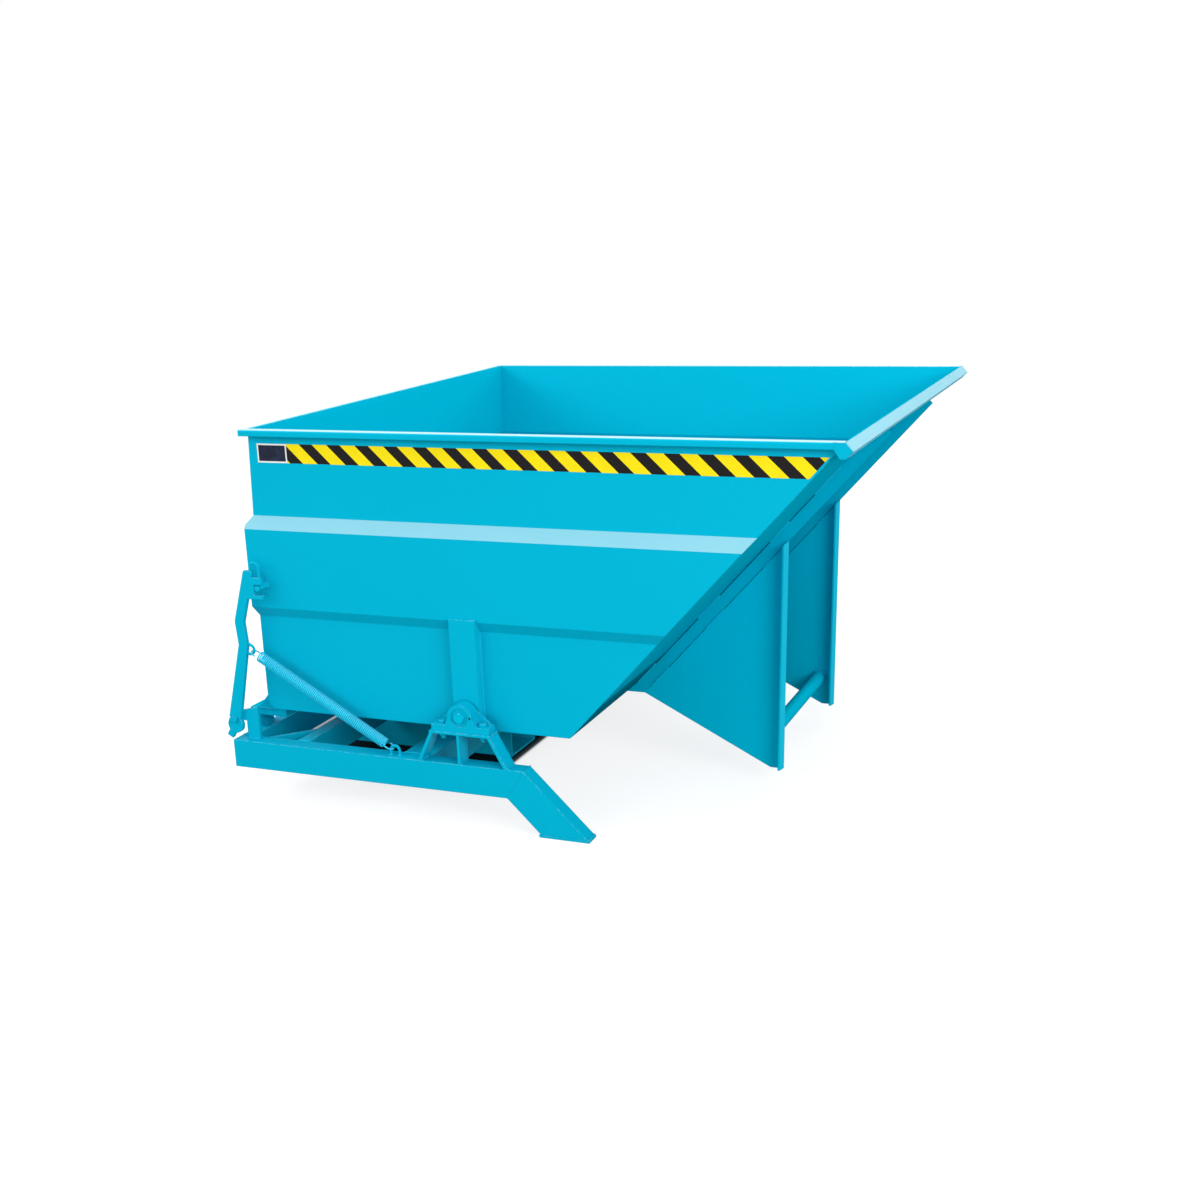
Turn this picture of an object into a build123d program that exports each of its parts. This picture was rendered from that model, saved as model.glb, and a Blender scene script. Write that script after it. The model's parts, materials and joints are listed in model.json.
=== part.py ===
from build123d import *
import math
import os

import numpy as np

# Tipping hopper: a sheet-steel tub with a discharge chute, on a base frame with fork pockets.
# Millimetres. +X points to the chute, +Z up, the latch lever is on the -Y side.
# X stations are measured from the tipping axis; the finished part is then centred over the origin.
# Z is measured from the floor.

# Tub
TUB_BOTTOM = 268.0
RIM_TOP = 1113.0
PANEL_HALF = 830.0
SWAGE_OUT = 20.0
SWAGE_LOW = 558.0
SWAGE_LOW_RISE = 31.0
SWAGE_HIGH = 860.0
SWAGE_HIGH_RISE = 38.0
REAR_RIM_BACK = 667.0
REAR_UPPER_BACK = 675.0
REAR_SWAGE_OUT = 22.0
REAR_SWAGE_RISE = 27.0
REAR_LOWER_BACK = 686.0
REAR_BEND_RADIUS = 30.0
CHUTE_FOOT = 300.0
CHUTE_TOP = 1079.0
SIDE_SHEET = 3.0
REAR_SHEET = 8.0
FLOOR_SHEET = 8.0
CHUTE_SHEET = 3.0

# Rim and lip
RIM_OUT = 26.0
RIM_REAR_OUT = 16.0
RIM_HEIGHT = 18.5
RIM_SHEET = 4.0
RIM_BEND_RADIUS = 6.0
LIP_REACH = 19.0
LIP_DROP = 23.0
LIP_RETURN = 19.0
LIP_SHEET = 4.0
LIP_CAP_LENGTH = 30.0
LIP_CAP_SHEET = 4.0

# Chute ribs, support plates and cross tube
RIB_SPACING = 624.0
RIB_SHEET = 6.0
RIB_DEPTH = 38.0
RIB_TIP_BACK = 42.0
RIB_HEEL = 60.0
PLATE_FRONT_FOOT = 763.5
PLATE_FRONT_TOP = 785.0
PLATE_FOOT_HEIGHT = 41.0
PLATE_FOOT_LENGTH = 40.0
PLATE_FLANGE = 45.0
PLATE_FLANGE_SLANT = 9.0
TUBE_OUTER_R = 21.2
TUBE_WALL = 4.0
TUBE_HEIGHT = 135.0
TUBE_SET_BACK = 48.0

# Tipping axis: ribs, shafts, bearings
PIVOT_HEIGHT = 326.0
SHAFT_R = 15.0
SHAFT_CLEARANCE = 0.05
SHAFT_END = 5.0
PIVOT_RIB_WIDTH = 80.0
PIVOT_RIB_DROP = 33.0
PIVOT_RIB_TOP = 597.0
PIVOT_RIB_SHEET = 6.0
PIVOT_RIB_GAP = 7.0
HOUSING_WIDTH = 40.0
HOUSING_R = 38.0
HOUSING_FLANK = 47.0
HOUSING_SHOULDER = 26.0
HOUSING_WEB_SHEET = 7.0
HOUSING_WEB_FOOT = 84.0
HOUSING_WEB_TOP = 34.0
HOUSING_FOOT_LENGTH = 180.0
HOUSING_FOOT_THICK = 19.0
HOUSING_BOLT_SPACING = 126.0
HOUSING_CENTRE = 43.0
GREASE_HOLE_R = 4.0
GREASE_HOLE_AWAY = 32.0
GREASE_HOLE_DEPTH = 14.0
INSERT_R = 26.0
INSERT_WIDTH = 34.0
SEAT_GAP = 0.1
BOLT_R = 7.0
BOLT_HEAD_R = 12.0
BOLT_HEAD_HEIGHT = 9.0
BOLT_TAIL = 8.0
BOLT_HOLE_GAP = 0.6
NUT_HEIGHT = 11.0

# Pedestals on the side beams
PEDESTAL_SHEET = 8.0
PEDESTAL_TOP_LENGTH = 192.0
PEDESTAL_LEG_SHEET = 11.0
PEDESTAL_REAR_FOOT = 127.0
PEDESTAL_FRONT_FOOT = 132.0
PEDESTAL_POST_BACK = 6.0

# Base frame
BEAM_WIDTH = 50.0
BEAM_HEIGHT = 84.0
BEAM_WALL = 4.0
BEAM_BACK = 764.0
SWING_GAP = 8.0
POCKET_HEIGHT = 105.0
POCKET_WIDTH = 174.0
POCKET_WALL = 6.0
POCKET_SPACING = 534.0
LEG_ANGLE = 44.5
LEG_FOOT = 245.0
LEG_DEPTH = 97.0
FOOT_SHEET = 8.0
FOOT_MARGIN = 6.0
FRONT_CROSS_BACK = 208.0
FRONT_CROSS_WIDTH = 90.0
REAR_CROSS_WIDTH = 41.0
MIDDLE_CROSS_BACK = 570.0
MIDDLE_CROSS_WIDTH = 41.0
BRACE_SHEET = 8.0
BRACE_HEIGHT = 81.0
BRACE_BACK = 689.0
BRACE_INNER = 745.0

# Rear rests
REST_SHEET = 12.0
REST_WIDTH = 71.0
REST_SET_IN = 42.0
REST_HEIGHT = 39.0
REST_GAP = 0.3
LUG_THICK = 22.0
LUG_OVERHANG = 20.0
LUG_CHEEK_SHEET = 8.0
LUG_CHEEK_RUN = 67.0
LUG_CHEEK_RISE = 80.0

# Latch lever, its ear and the catch
LEVER_SHEET = 12.0
LEVER_BACK = 763.0
LEVER_PIVOT_HEIGHT = 251.0
LEVER_WIDTH = 30.0
LEVER_ROOT_WIDTH = 40.0
LEVER_LOBE_R = 26.0
LEVER_LOBE_DROP = 20.0
LEVER_TAIL = (-23.5, -57.5)
LEVER_TAIL_WIDTH = 21.0
LEVER_KNEE = (55.5, 231.0)
LEVER_NECK = (50.0, 302.5)
LEVER_TIP_FRONT = 97.0
LEVER_TIP_RISE = 52.0
LEVER_BOLT_R = 8.0
LEVER_BOLT_HEAD_R = 12.0
LEVER_GAP = 0.3
EAR_SHEET = 12.0
EAR_SET_IN = 10.0
EAR_FRONT = 688.0
EAR_NECK = 730.0
EAR_RISE = 100.0
EAR_HUB_R = 18.0
EAR_THROAT = 8.0
CATCH_PIN_R = 8.0
CATCH_PIN_REACH = 48.0
CATCH_HEIGHT = 657.0
CATCH_AHEAD = 41.5
CATCH_GAP = 2.0
NOSE_AHEAD = 18.0
NOSE_ABOVE = 33.0
NOSE_BELOW = 32.0
NOTCH_ABOVE = 12.0
NOTCH_BELOW = 20.0
EYE_ROD_R = 4.0
EYE_R = 14.0
EYE_LEG = 8.0
ROPE_EYE_R = 15.0
ROPE_EYE_BACK = 6.0
ROPE_EYE_RISE = 28.0

# Latch spring
SPRING_WIRE_R = 2.25
SPRING_COIL_R = 13.75
SPRING_TURNS = 80
SPRING_HOOK_TURN = 6.0
SPRING_HOOK_RUN = 8.0
SPRING_HOOK_END = 6.0
SPRING_GAP = 0.5
SPRING_EYE_HEIGHT = 469.0
ANCHOR_BACK = 222.0
ANCHOR_LEG = 14.0

# Hazard tape and bare label plate
TAPE_DROP = 97.0
TAPE_HEIGHT = 55.0
TAPE_BACK = 541.0
TAPE_FRONT_MARGIN = 8.0
TAPE_FILM = 0.6
LABEL_LENGTH = 99.0

# Derived places
BEAM_IN = PANEL_HALF + RIM_OUT + SWING_GAP
BEAM_MID = BEAM_IN + BEAM_WIDTH / 2
BEAM_OUT = BEAM_IN + BEAM_WIDTH
BEAM_LOW = POCKET_HEIGHT
BEAM_TOP = BEAM_LOW + BEAM_HEIGHT
PEDESTAL_TOP = PIVOT_HEIGHT - HOUSING_CENTRE
CHUTE_RUN = CHUTE_TOP - CHUTE_FOOT
CHUTE_RISE = RIM_TOP - TUB_BOTTOM
CHUTE_LENGTH = math.hypot(CHUTE_RUN, CHUTE_RISE)
CHUTE_ALONG = Vector(CHUTE_RUN, 0, CHUTE_RISE) / CHUTE_LENGTH
CHUTE_BELOW = Vector(CHUTE_RISE, 0, -CHUTE_RUN) / CHUTE_LENGTH
CHUTE_LEVEL_SHEET = CHUTE_SHEET * CHUTE_LENGTH / CHUTE_RISE
LIP_FRONT = CHUTE_TOP + LIP_REACH
LIP_LOW = RIM_TOP - LIP_DROP
RIM_FRONT = CHUTE_TOP - LIP_CAP_LENGTH
LEG_RUN = math.tan(math.radians(90 - LEG_ANGLE))
LEG_LEVEL_DEPTH = LEG_DEPTH / math.sin(math.radians(LEG_ANGLE))
REST_OUTER = PANEL_HALF - REST_SET_IN
REST_TOP = BEAM_TOP + REST_HEIGHT
LEVER_TIP = (LEVER_TIP_FRONT, CATCH_HEIGHT + LEVER_TIP_RISE - LEVER_PIVOT_HEIGHT)
EAR_OUT = BEAM_IN + EAR_SET_IN + EAR_SHEET
LEVER_IN = EAR_OUT + LEVER_GAP
LEVER_OUT = LEVER_IN + LEVER_SHEET
LEVER_MID = LEVER_IN + LEVER_SHEET / 2
TAPE_LOW = RIM_TOP - TAPE_DROP


def block(x0, x1, y0, y1, z0, z1):
    """Rectangular block between two corners."""
    middle = Pos((x0 + x1) / 2, (y0 + y1) / 2, (z0 + z1) / 2)
    return middle * Box(abs(x1 - x0), abs(y1 - y0), abs(z1 - z0))


def plate_xz(points, y0, y1):
    """Plate with an outline of (x, z) points, between two y values."""
    outline = Polyline(*[(x, y0, z) for x, z in points], close=True)
    return extrude(make_face(outline), amount=y1 - y0, dir=(0, 1, 0))


def plate_yz(points, x0, x1):
    """Bar with a section of (y, z) points, between two x values."""
    outline = Polyline(*[(x0, y, z) for y, z in points], close=True)
    return extrude(make_face(outline), amount=x1 - x0, dir=(1, 0, 0))


def plate_xy(points, z0, z1):
    """Plate with an outline of (x, y) points, between two heights."""
    outline = Polyline(*[(x, y, z0) for x, y in points], close=True)
    return extrude(make_face(outline), amount=z1 - z0, dir=(0, 0, 1))


def rod_y(x, z, radius, y0, y1):
    """Round bar along Y."""
    return Pos(x, (y0 + y1) / 2, z) * Rot(90, 0, 0) * Cylinder(radius, abs(y1 - y0))


def rod_z(x, y, radius, z0, z1):
    """Round bar along Z."""
    return Pos(x, y, (z0 + z1) / 2) * Cylinder(radius, z1 - z0)


def near(shape):
    """The same piece on the -Y side."""
    return mirror(shape, about=Plane.XZ)


def chute_point(along, below):
    """Point (x, z) on the chute's underside, a way up it and a depth below it."""
    point = Vector(CHUTE_FOOT, 0, TUB_BOTTOM) + CHUTE_ALONG * along + CHUTE_BELOW * below
    return point.X, point.Z


def chute_x(height, below=0.0):
    """X where a line at a depth below the chute's underside has this height."""
    level = below * CHUTE_LENGTH / CHUTE_RISE
    return CHUTE_FOOT + (height - TUB_BOTTOM) * CHUTE_RUN / CHUTE_RISE + level


def side_section(inset):
    """Half section (y, z) of the tub's side, from floor to rim, moved in by the inset."""
    flat = PANEL_HALF - inset
    swage = flat + SWAGE_OUT
    return [
        (flat, TUB_BOTTOM),
        (flat, SWAGE_LOW),
        (swage, SWAGE_LOW + SWAGE_LOW_RISE),
        (swage, SWAGE_HIGH - SWAGE_HIGH_RISE),
        (flat, SWAGE_HIGH),
        (flat, RIM_TOP),
    ]


def tub_core(inset):
    """Solid as long as the tub, with the tub's cross section moved in by the inset."""
    half = side_section(inset)
    other = [(-y, z) for y, z in reversed(half)]
    return plate_yz(half + other, -REAR_UPPER_BACK - REAR_SWAGE_OUT, LIP_FRONT)


def rear_outline(inset):
    """Rear wall's line (x, z) from the rim down to the bend, moved in by the inset."""
    upper = -REAR_UPPER_BACK + inset
    swage = upper - REAR_SWAGE_OUT
    lower = -REAR_LOWER_BACK + inset
    rim = -REAR_RIM_BACK + inset
    return [
        (rim, RIM_TOP),
        (rim, RIM_TOP - RIM_HEIGHT),
        (upper, SWAGE_HIGH),
        (swage, SWAGE_HIGH - REAR_SWAGE_RISE),
        (swage, SWAGE_LOW + SWAGE_LOW_RISE),
        (lower, SWAGE_LOW),
        (lower, TUB_BOTTOM + REAR_BEND_RADIUS),
    ]


def bend_arc(radius):
    """Quarter arc of the rear bend, from the wall to the floor, about the bend's centre."""
    x = -REAR_LOWER_BACK + REAR_BEND_RADIUS
    z = TUB_BOTTOM + REAR_BEND_RADIUS
    slant = radius * math.sqrt(0.5)
    return ThreePointArc((x - radius, 0, z), (x - slant, 0, z - slant), (x, 0, z - radius))


def both_ways(face):
    """Extrude an XZ face past both sides of the tub."""
    return extrude(face, amount=PANEL_HALF + SWAGE_OUT, dir=(0, 1, 0), both=True)


def tub_profile():
    """The tub's side view as a solid as wide as the tub."""
    edge = Polyline(
        (-REAR_LOWER_BACK + REAR_BEND_RADIUS, 0, TUB_BOTTOM),
        (CHUTE_FOOT, 0, TUB_BOTTOM),
        (CHUTE_TOP, 0, RIM_TOP),
        *[(x, 0, z) for x, z in rear_outline(0)],
    )
    return both_ways(make_face([edge, bend_arc(REAR_BEND_RADIUS)]))


def side_panel():
    """Swaged side panel, cut along the rear wall, the floor and the chute."""
    strip = side_section(0) + list(reversed(side_section(SIDE_SHEET)))
    return plate_yz(strip, -REAR_UPPER_BACK - REAR_SWAGE_OUT - 1, CHUTE_TOP) & tub_profile()


def rear_wall():
    """Swaged rear wall with the bend into the floor."""
    inner = REAR_BEND_RADIUS - REAR_SHEET
    floor_x = -REAR_LOWER_BACK + REAR_BEND_RADIUS
    outer_line = Polyline(*[(x, 0, z) for x, z in rear_outline(0)])
    inner_line = Polyline(*[(x, 0, z) for x, z in rear_outline(REAR_SHEET)])
    top = Line((-REAR_RIM_BACK, 0, RIM_TOP), (-REAR_RIM_BACK + REAR_SHEET, 0, RIM_TOP))
    toe = Line((floor_x, 0, TUB_BOTTOM), (floor_x, 0, TUB_BOTTOM + REAR_SHEET))
    edges = [outer_line, bend_arc(REAR_BEND_RADIUS), toe, bend_arc(inner), inner_line, top]
    return both_ways(make_face(edges)) & tub_core(SIDE_SHEET)


def floor_plate():
    """Flat floor from the rear bend to the chute."""
    back = -REAR_LOWER_BACK + REAR_BEND_RADIUS
    front = CHUTE_FOOT - CHUTE_LEVEL_SHEET
    half = PANEL_HALF - SIDE_SHEET
    top = TUB_BOTTOM + FLOOR_SHEET
    front_top = front + FLOOR_SHEET * CHUTE_RUN / CHUTE_RISE
    return plate_xz([(back, TUB_BOTTOM), (front, TUB_BOTTOM), (front_top, top), (back, top)], -half, half)


def chute_plate():
    """Sloping chute from the floor to the rim, as wide as the tub inside."""
    points = [
        (CHUTE_FOOT, TUB_BOTTOM),
        (CHUTE_TOP, RIM_TOP),
        (CHUTE_TOP - CHUTE_LEVEL_SHEET, RIM_TOP),
        (CHUTE_FOOT - CHUTE_LEVEL_SHEET, TUB_BOTTOM),
    ]
    wide = PANEL_HALF + SWAGE_OUT
    return plate_xz(points, -wide, wide) & tub_core(SIDE_SHEET)


def lip_line():
    """Outer line (x, z) of the folded lip: top of the chute, front edge and end of the return."""
    return [(CHUTE_TOP, RIM_TOP), (LIP_FRONT, LIP_LOW), (LIP_FRONT - LIP_RETURN, LIP_LOW - LIP_RETURN)]


def front_lip():
    """Strip folded down from the top of the chute and back under, between the end caps."""
    half = PANEL_HALF + RIM_OUT - LIP_CAP_SHEET
    top, front, back = lip_line()
    face = math.hypot(LIP_REACH, LIP_DROP)
    ix = LIP_DROP / face * LIP_SHEET
    iz = LIP_REACH / face * LIP_SHEET
    turn = LIP_SHEET * math.sqrt(0.5)
    inner_back = (back[0] - turn, back[1] + turn)
    run = ((front[0] - ix - inner_back[0]) - (front[1] - iz - inner_back[1])) / (1 + LIP_DROP / LIP_REACH)
    inner_front = (front[0] - ix - run, front[1] - iz + run * LIP_DROP / LIP_REACH)
    inner_top = (top[0] - ix, top[1] - iz)
    strip = plate_xz([top, front, back, inner_back, inner_front, inner_top], -half, half)
    inside = plate_xz([(CHUTE_FOOT, TUB_BOTTOM), (CHUTE_TOP, RIM_TOP), (CHUTE_FOOT, RIM_TOP)], -half, half)
    return strip - inside


def lip_cap():
    """Folded end of the lip: an upright plate in the rim's line and a strip over the corner."""
    outer = PANEL_HALF + RIM_OUT
    top, front, back = lip_line()
    low = RIM_TOP - RIM_HEIGHT
    heel = (RIM_FRONT + LIP_CAP_LENGTH / 2, back[1])
    points = [(RIM_FRONT, RIM_TOP), top, front, back, heel, (RIM_FRONT, low)]
    plate = plate_xz(points, outer - LIP_CAP_SHEET, outer)
    inner_y = outer - LIP_CAP_SHEET
    cover = block(RIM_FRONT, chute_x(RIM_TOP - RIM_SHEET), PANEL_HALF, inner_y, RIM_TOP - RIM_SHEET, RIM_TOP)
    return plate + cover


def rim_section(out):
    """Rim profile as (offset, z) edges: a flange that bends down into a skirt."""
    low = RIM_TOP - RIM_HEIGHT
    under = RIM_TOP - RIM_SHEET
    inner = RIM_BEND_RADIUS - RIM_SHEET
    bend = (out - RIM_BEND_RADIUS, RIM_TOP - RIM_BEND_RADIUS)
    return low, under, inner, bend


def rim_face(out, place):
    """Face of the rim profile, with place turning (offset, z) into a point."""
    low, under, inner, (bend_o, bend_z) = rim_section(out)
    slant = math.sqrt(0.5)
    outer_mid = (bend_o + RIM_BEND_RADIUS * slant, bend_z + RIM_BEND_RADIUS * slant)
    inner_mid = (bend_o + inner * slant, bend_z + inner * slant)
    edges = [
        Polyline(place(bend_o, under), place(0, under), place(0, RIM_TOP), place(bend_o, RIM_TOP)),
        ThreePointArc(place(bend_o, RIM_TOP), place(*outer_mid), place(out, bend_z)),
        Polyline(
            place(out, bend_z),
            place(out, low),
            place(out - RIM_SHEET, low),
            place(out - RIM_SHEET, bend_z),
        ),
        ThreePointArc(place(out - RIM_SHEET, bend_z), place(*inner_mid), place(bend_o, under)),
    ]
    return make_face(edges)


def side_rim():
    """Rim along one side, from the rear corner to the lip."""
    back = -REAR_RIM_BACK - RIM_REAR_OUT
    face = rim_face(RIM_OUT, lambda offset, z: (back, PANEL_HALF + offset, z))
    return extrude(face, amount=RIM_FRONT - back, dir=(1, 0, 0))


def rear_rim():
    """Rim along the rear wall, between the side rims."""
    face = rim_face(RIM_REAR_OUT, lambda offset, z: (-REAR_RIM_BACK - offset, -PANEL_HALF, z))
    return extrude(face, amount=2 * PANEL_HALF, dir=(0, 1, 0))


def rib_low_edge():
    """Lower edge of a chute rib: its start at the floor's front and its end under the lip."""
    return chute_point(0, RIB_DEPTH), chute_point(CHUTE_LENGTH - RIB_TIP_BACK, RIB_DEPTH)


def chute_rib():
    """Flat bar on edge under the chute, from a level heel under the floor to the lip."""
    y0 = RIB_SPACING / 2 - RIB_SHEET / 2
    start, end = rib_low_edge()
    heel = CHUTE_FOOT - RIB_HEEL
    points = [(heel, TUB_BOTTOM), chute_point(0, 0), chute_point(CHUTE_LENGTH - RIB_TIP_BACK, 0)]
    points += [end, start, (heel, start[1])]
    return plate_xz(points, y0, y0 + RIB_SHEET)


def rib_edge_z(x):
    """Height of a chute rib's lower edge at an X station."""
    start, end = rib_low_edge()
    return start[1] + (x - start[0]) * (end[1] - start[1]) / (end[0] - start[0])


def plate_front_line():
    """Front edge of a support plate: foot and top, where the top lies on the rib's lower edge."""
    return (PLATE_FRONT_FOOT, PLATE_FOOT_HEIGHT), (PLATE_FRONT_TOP, rib_edge_z(PLATE_FRONT_TOP))


def support_plate():
    """Far plate that hangs from a chute rib, with a flange towards -Y whose lower end is cut at a slant."""
    y0 = RIB_SPACING / 2 - RIB_SHEET / 2
    foot, top = plate_front_line()
    start = rib_low_edge()[0]
    web = plate_xz([start, top, foot, (foot[0] - PLATE_FOOT_LENGTH, foot[1])], y0, y0 + RIB_SHEET)
    back = top[0] - RIB_SHEET
    strip = [foot, top, (back, rib_edge_z(back)), (foot[0] - RIB_SHEET, foot[1])]
    outer = y0 - PLATE_FLANGE
    slant = [(outer, foot[1]), (y0, foot[1]), (outer, foot[1] + PLATE_FLANGE_SLANT)]
    flange = plate_xz(strip, outer, y0) - plate_yz(slant, foot[0] - RIB_SHEET, top[0])
    return web + flange


def cross_tube():
    """Round tube between the two support plates."""
    half = RIB_SPACING / 2 - RIB_SHEET / 2
    x = PLATE_FRONT_FOOT - TUBE_SET_BACK
    outer = rod_y(x, TUBE_HEIGHT, TUBE_OUTER_R, -half, half)
    return outer - rod_y(x, TUBE_HEIGHT, TUBE_OUTER_R - TUBE_WALL, -half, half)


def housing_inner_y():
    """Y of the bearing housing's inner face."""
    return BEAM_MID - HOUSING_WIDTH / 2


def pivot_rib():
    """Channel on the tub's side that carries the stub shaft."""
    half = PIVOT_RIB_WIDTH / 2
    outer = housing_inner_y() - PIVOT_RIB_GAP
    low = PIVOT_HEIGHT - PIVOT_RIB_DROP
    skin = PIVOT_RIB_SHEET
    channel = block(-half, half, PANEL_HALF, outer, low, PIVOT_RIB_TOP)
    hollow = block(-half + skin, half - skin, PANEL_HALF, outer - skin, low, PIVOT_RIB_TOP - skin)
    bore = rod_y(0, PIVOT_HEIGHT, SHAFT_R + SEAT_GAP, PANEL_HALF, outer)
    return channel - hollow - bore - tub_core(0)


def stub_shaft():
    """Round shaft from the tub's side through the bearing."""
    return rod_y(0, PIVOT_HEIGHT, SHAFT_R, PANEL_HALF, BEAM_MID + HOUSING_WIDTH / 2 + SHAFT_END)


def bearing_housing():
    """Pillow block: a round body on a bolted foot, with a sloping web along its inner face."""
    y0 = housing_inner_y()
    y1 = y0 + HOUSING_WIDTH
    half = HOUSING_FOOT_LENGTH / 2
    foot = block(-half, half, y0, y1, PEDESTAL_TOP, PEDESTAL_TOP + HOUSING_FOOT_THICK)
    seat = PEDESTAL_TOP + HOUSING_FOOT_THICK
    high = PIVOT_HEIGHT + math.sqrt(HOUSING_R**2 - HOUSING_SHOULDER**2)
    flank = [(-HOUSING_FLANK, seat), (HOUSING_FLANK, seat)]
    flank += [(HOUSING_SHOULDER, high), (-HOUSING_SHOULDER, high)]
    body = foot + plate_xz(flank, y0, y1) + rod_y(0, PIVOT_HEIGHT, HOUSING_R, y0, y1)
    level = PIVOT_HEIGHT + math.sqrt(HOUSING_R**2 - HOUSING_WEB_TOP**2)
    web = [(-HOUSING_WEB_FOOT, seat), (HOUSING_WEB_FOOT, seat)]
    web += [(HOUSING_WEB_TOP, level), (-HOUSING_WEB_TOP, level)]
    body += plate_xz(web, y0, y0 + HOUSING_WEB_SHEET)
    body -= rod_y(0, PIVOT_HEIGHT, INSERT_R + SEAT_GAP, y0, y1)
    for x in bolt_stations():
        body -= rod_z(x, BEAM_MID, BOLT_R + BOLT_HOLE_GAP, PEDESTAL_TOP, PIVOT_HEIGHT)
    return body - rod_y(GREASE_HOLE_AWAY, PIVOT_HEIGHT, GREASE_HOLE_R, y1 - GREASE_HOLE_DEPTH, y1)


def bolt_stations():
    """X of the two housing bolts."""
    return (-HOUSING_BOLT_SPACING / 2, HOUSING_BOLT_SPACING / 2)


def bearing_insert():
    """Bearing ring that sits in the housing and runs on the shaft."""
    y0 = BEAM_MID - INSERT_WIDTH / 2
    ring = rod_y(0, PIVOT_HEIGHT, INSERT_R, y0, y0 + INSERT_WIDTH)
    return ring - rod_y(0, PIVOT_HEIGHT, SHAFT_R + SHAFT_CLEARANCE, y0, y0 + INSERT_WIDTH)


def housing_bolts():
    """Two hexagon bolts through the housing's foot and the pedestal's top plate."""
    seat = PEDESTAL_TOP + HOUSING_FOOT_THICK
    tail = PEDESTAL_TOP - PEDESTAL_SHEET - NUT_HEIGHT - BOLT_TAIL
    bolts = []
    for x in bolt_stations():
        head = extrude(Pos(x, BEAM_MID, seat) * RegularPolygon(BOLT_HEAD_R, 6), amount=BOLT_HEAD_HEIGHT)
        bolts.append(head + rod_z(x, BEAM_MID, BOLT_R, tail, seat))
    return bolts


def housing_nuts():
    """Two nuts under the pedestal's top plate."""
    top = PEDESTAL_TOP - PEDESTAL_SHEET
    nuts = []
    for x in bolt_stations():
        nut = extrude(Pos(x, BEAM_MID, top) * RegularPolygon(BOLT_HEAD_R, 6), amount=-NUT_HEIGHT)
        nuts.append(nut - rod_z(x, BEAM_MID, BOLT_R + SEAT_GAP, top - NUT_HEIGHT, top))
    return nuts


def pedestal():
    """Trestle of flat plates on the side beam: a top plate, two slanted legs and a middle post."""
    under = PEDESTAL_TOP - PEDESTAL_SHEET
    half = PEDESTAL_TOP_LENGTH / 2
    skin = PEDESTAL_SHEET
    top = block(-half, half, BEAM_IN, BEAM_OUT, under, PEDESTAL_TOP)
    for x in bolt_stations():
        top -= rod_z(x, BEAM_MID, BOLT_R + BOLT_HOLE_GAP, under, PEDESTAL_TOP)
    leg = PEDESTAL_LEG_SHEET
    rear = [(-PEDESTAL_REAR_FOOT - leg, BEAM_TOP), (-PEDESTAL_REAR_FOOT, BEAM_TOP)]
    rear += [(-half + leg, under), (-half, under)]
    front = [(PEDESTAL_FRONT_FOOT, BEAM_TOP), (PEDESTAL_FRONT_FOOT + leg, BEAM_TOP)]
    front += [(half, under), (half - leg, under)]
    post_x = -PEDESTAL_POST_BACK
    post = block(post_x - skin / 2, post_x + skin / 2, BEAM_IN, BEAM_OUT, BEAM_TOP, under)
    return top + plate_xz(rear, BEAM_IN, BEAM_OUT) + plate_xz(front, BEAM_IN, BEAM_OUT) + post


def leg_x(height):
    """X of the slanted leg's rear edge at a height."""
    return LEG_FOOT - height * LEG_RUN


def side_beam():
    """Hollow side beam, mitred at the front for the leg."""
    mitre_low = leg_x(BEAM_LOW)
    mitre_high = leg_x(BEAM_TOP) + LEG_LEVEL_DEPTH
    points = [(-BEAM_BACK, BEAM_LOW), (mitre_low, BEAM_LOW), (mitre_high, BEAM_TOP), (-BEAM_BACK, BEAM_TOP)]
    outer = plate_xz(points, BEAM_IN, BEAM_OUT)
    wall = BEAM_WALL
    return outer - block(
        -BEAM_BACK, mitre_high, BEAM_IN + wall, BEAM_OUT - wall, BEAM_LOW + wall, BEAM_TOP - wall
    )


def beam_end_cap():
    """Plate that closes the side beam's rear end, set inside the section."""
    wall = BEAM_WALL
    inner_low = BEAM_LOW + wall
    inner_high = BEAM_TOP - wall
    return block(-BEAM_BACK, -BEAM_BACK + wall, BEAM_IN + wall, BEAM_OUT - wall, inner_low, inner_high)


def front_leg():
    """Slanted hollow leg from the beam's mitre down to the foot plate."""
    depth = LEG_LEVEL_DEPTH
    top = leg_x(BEAM_TOP)
    foot = leg_x(FOOT_SHEET)
    points = [(leg_x(BEAM_LOW), BEAM_LOW), (foot, FOOT_SHEET)]
    points += [(foot + depth, FOOT_SHEET), (top + depth, BEAM_TOP)]
    wall = BEAM_WALL
    level_wall = wall * LEG_LEVEL_DEPTH / LEG_DEPTH
    hollow = [
        (top + level_wall, BEAM_TOP),
        (leg_x(0) + level_wall, 0),
        (leg_x(0) + depth - level_wall, 0),
        (top + depth - level_wall, BEAM_TOP),
    ]
    return plate_xz(points, BEAM_IN, BEAM_OUT) - plate_xz(hollow, BEAM_IN + wall, BEAM_OUT - wall)


def foot_plate():
    """Thin plate under the leg."""
    back = leg_x(FOOT_SHEET) - FOOT_MARGIN
    front = leg_x(FOOT_SHEET) + LEG_LEVEL_DEPTH + FOOT_MARGIN
    return block(back, front, BEAM_IN, BEAM_OUT, 0, FOOT_SHEET)


def cross_beam(back, width):
    """Hollow cross beam between the side beams."""
    wall = BEAM_WALL
    front = back + width
    outer = block(back, front, -BEAM_IN, BEAM_IN, BEAM_LOW, BEAM_TOP)
    return outer - block(back + wall, front - wall, -BEAM_IN, BEAM_IN, BEAM_LOW + wall, BEAM_TOP - wall)


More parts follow.
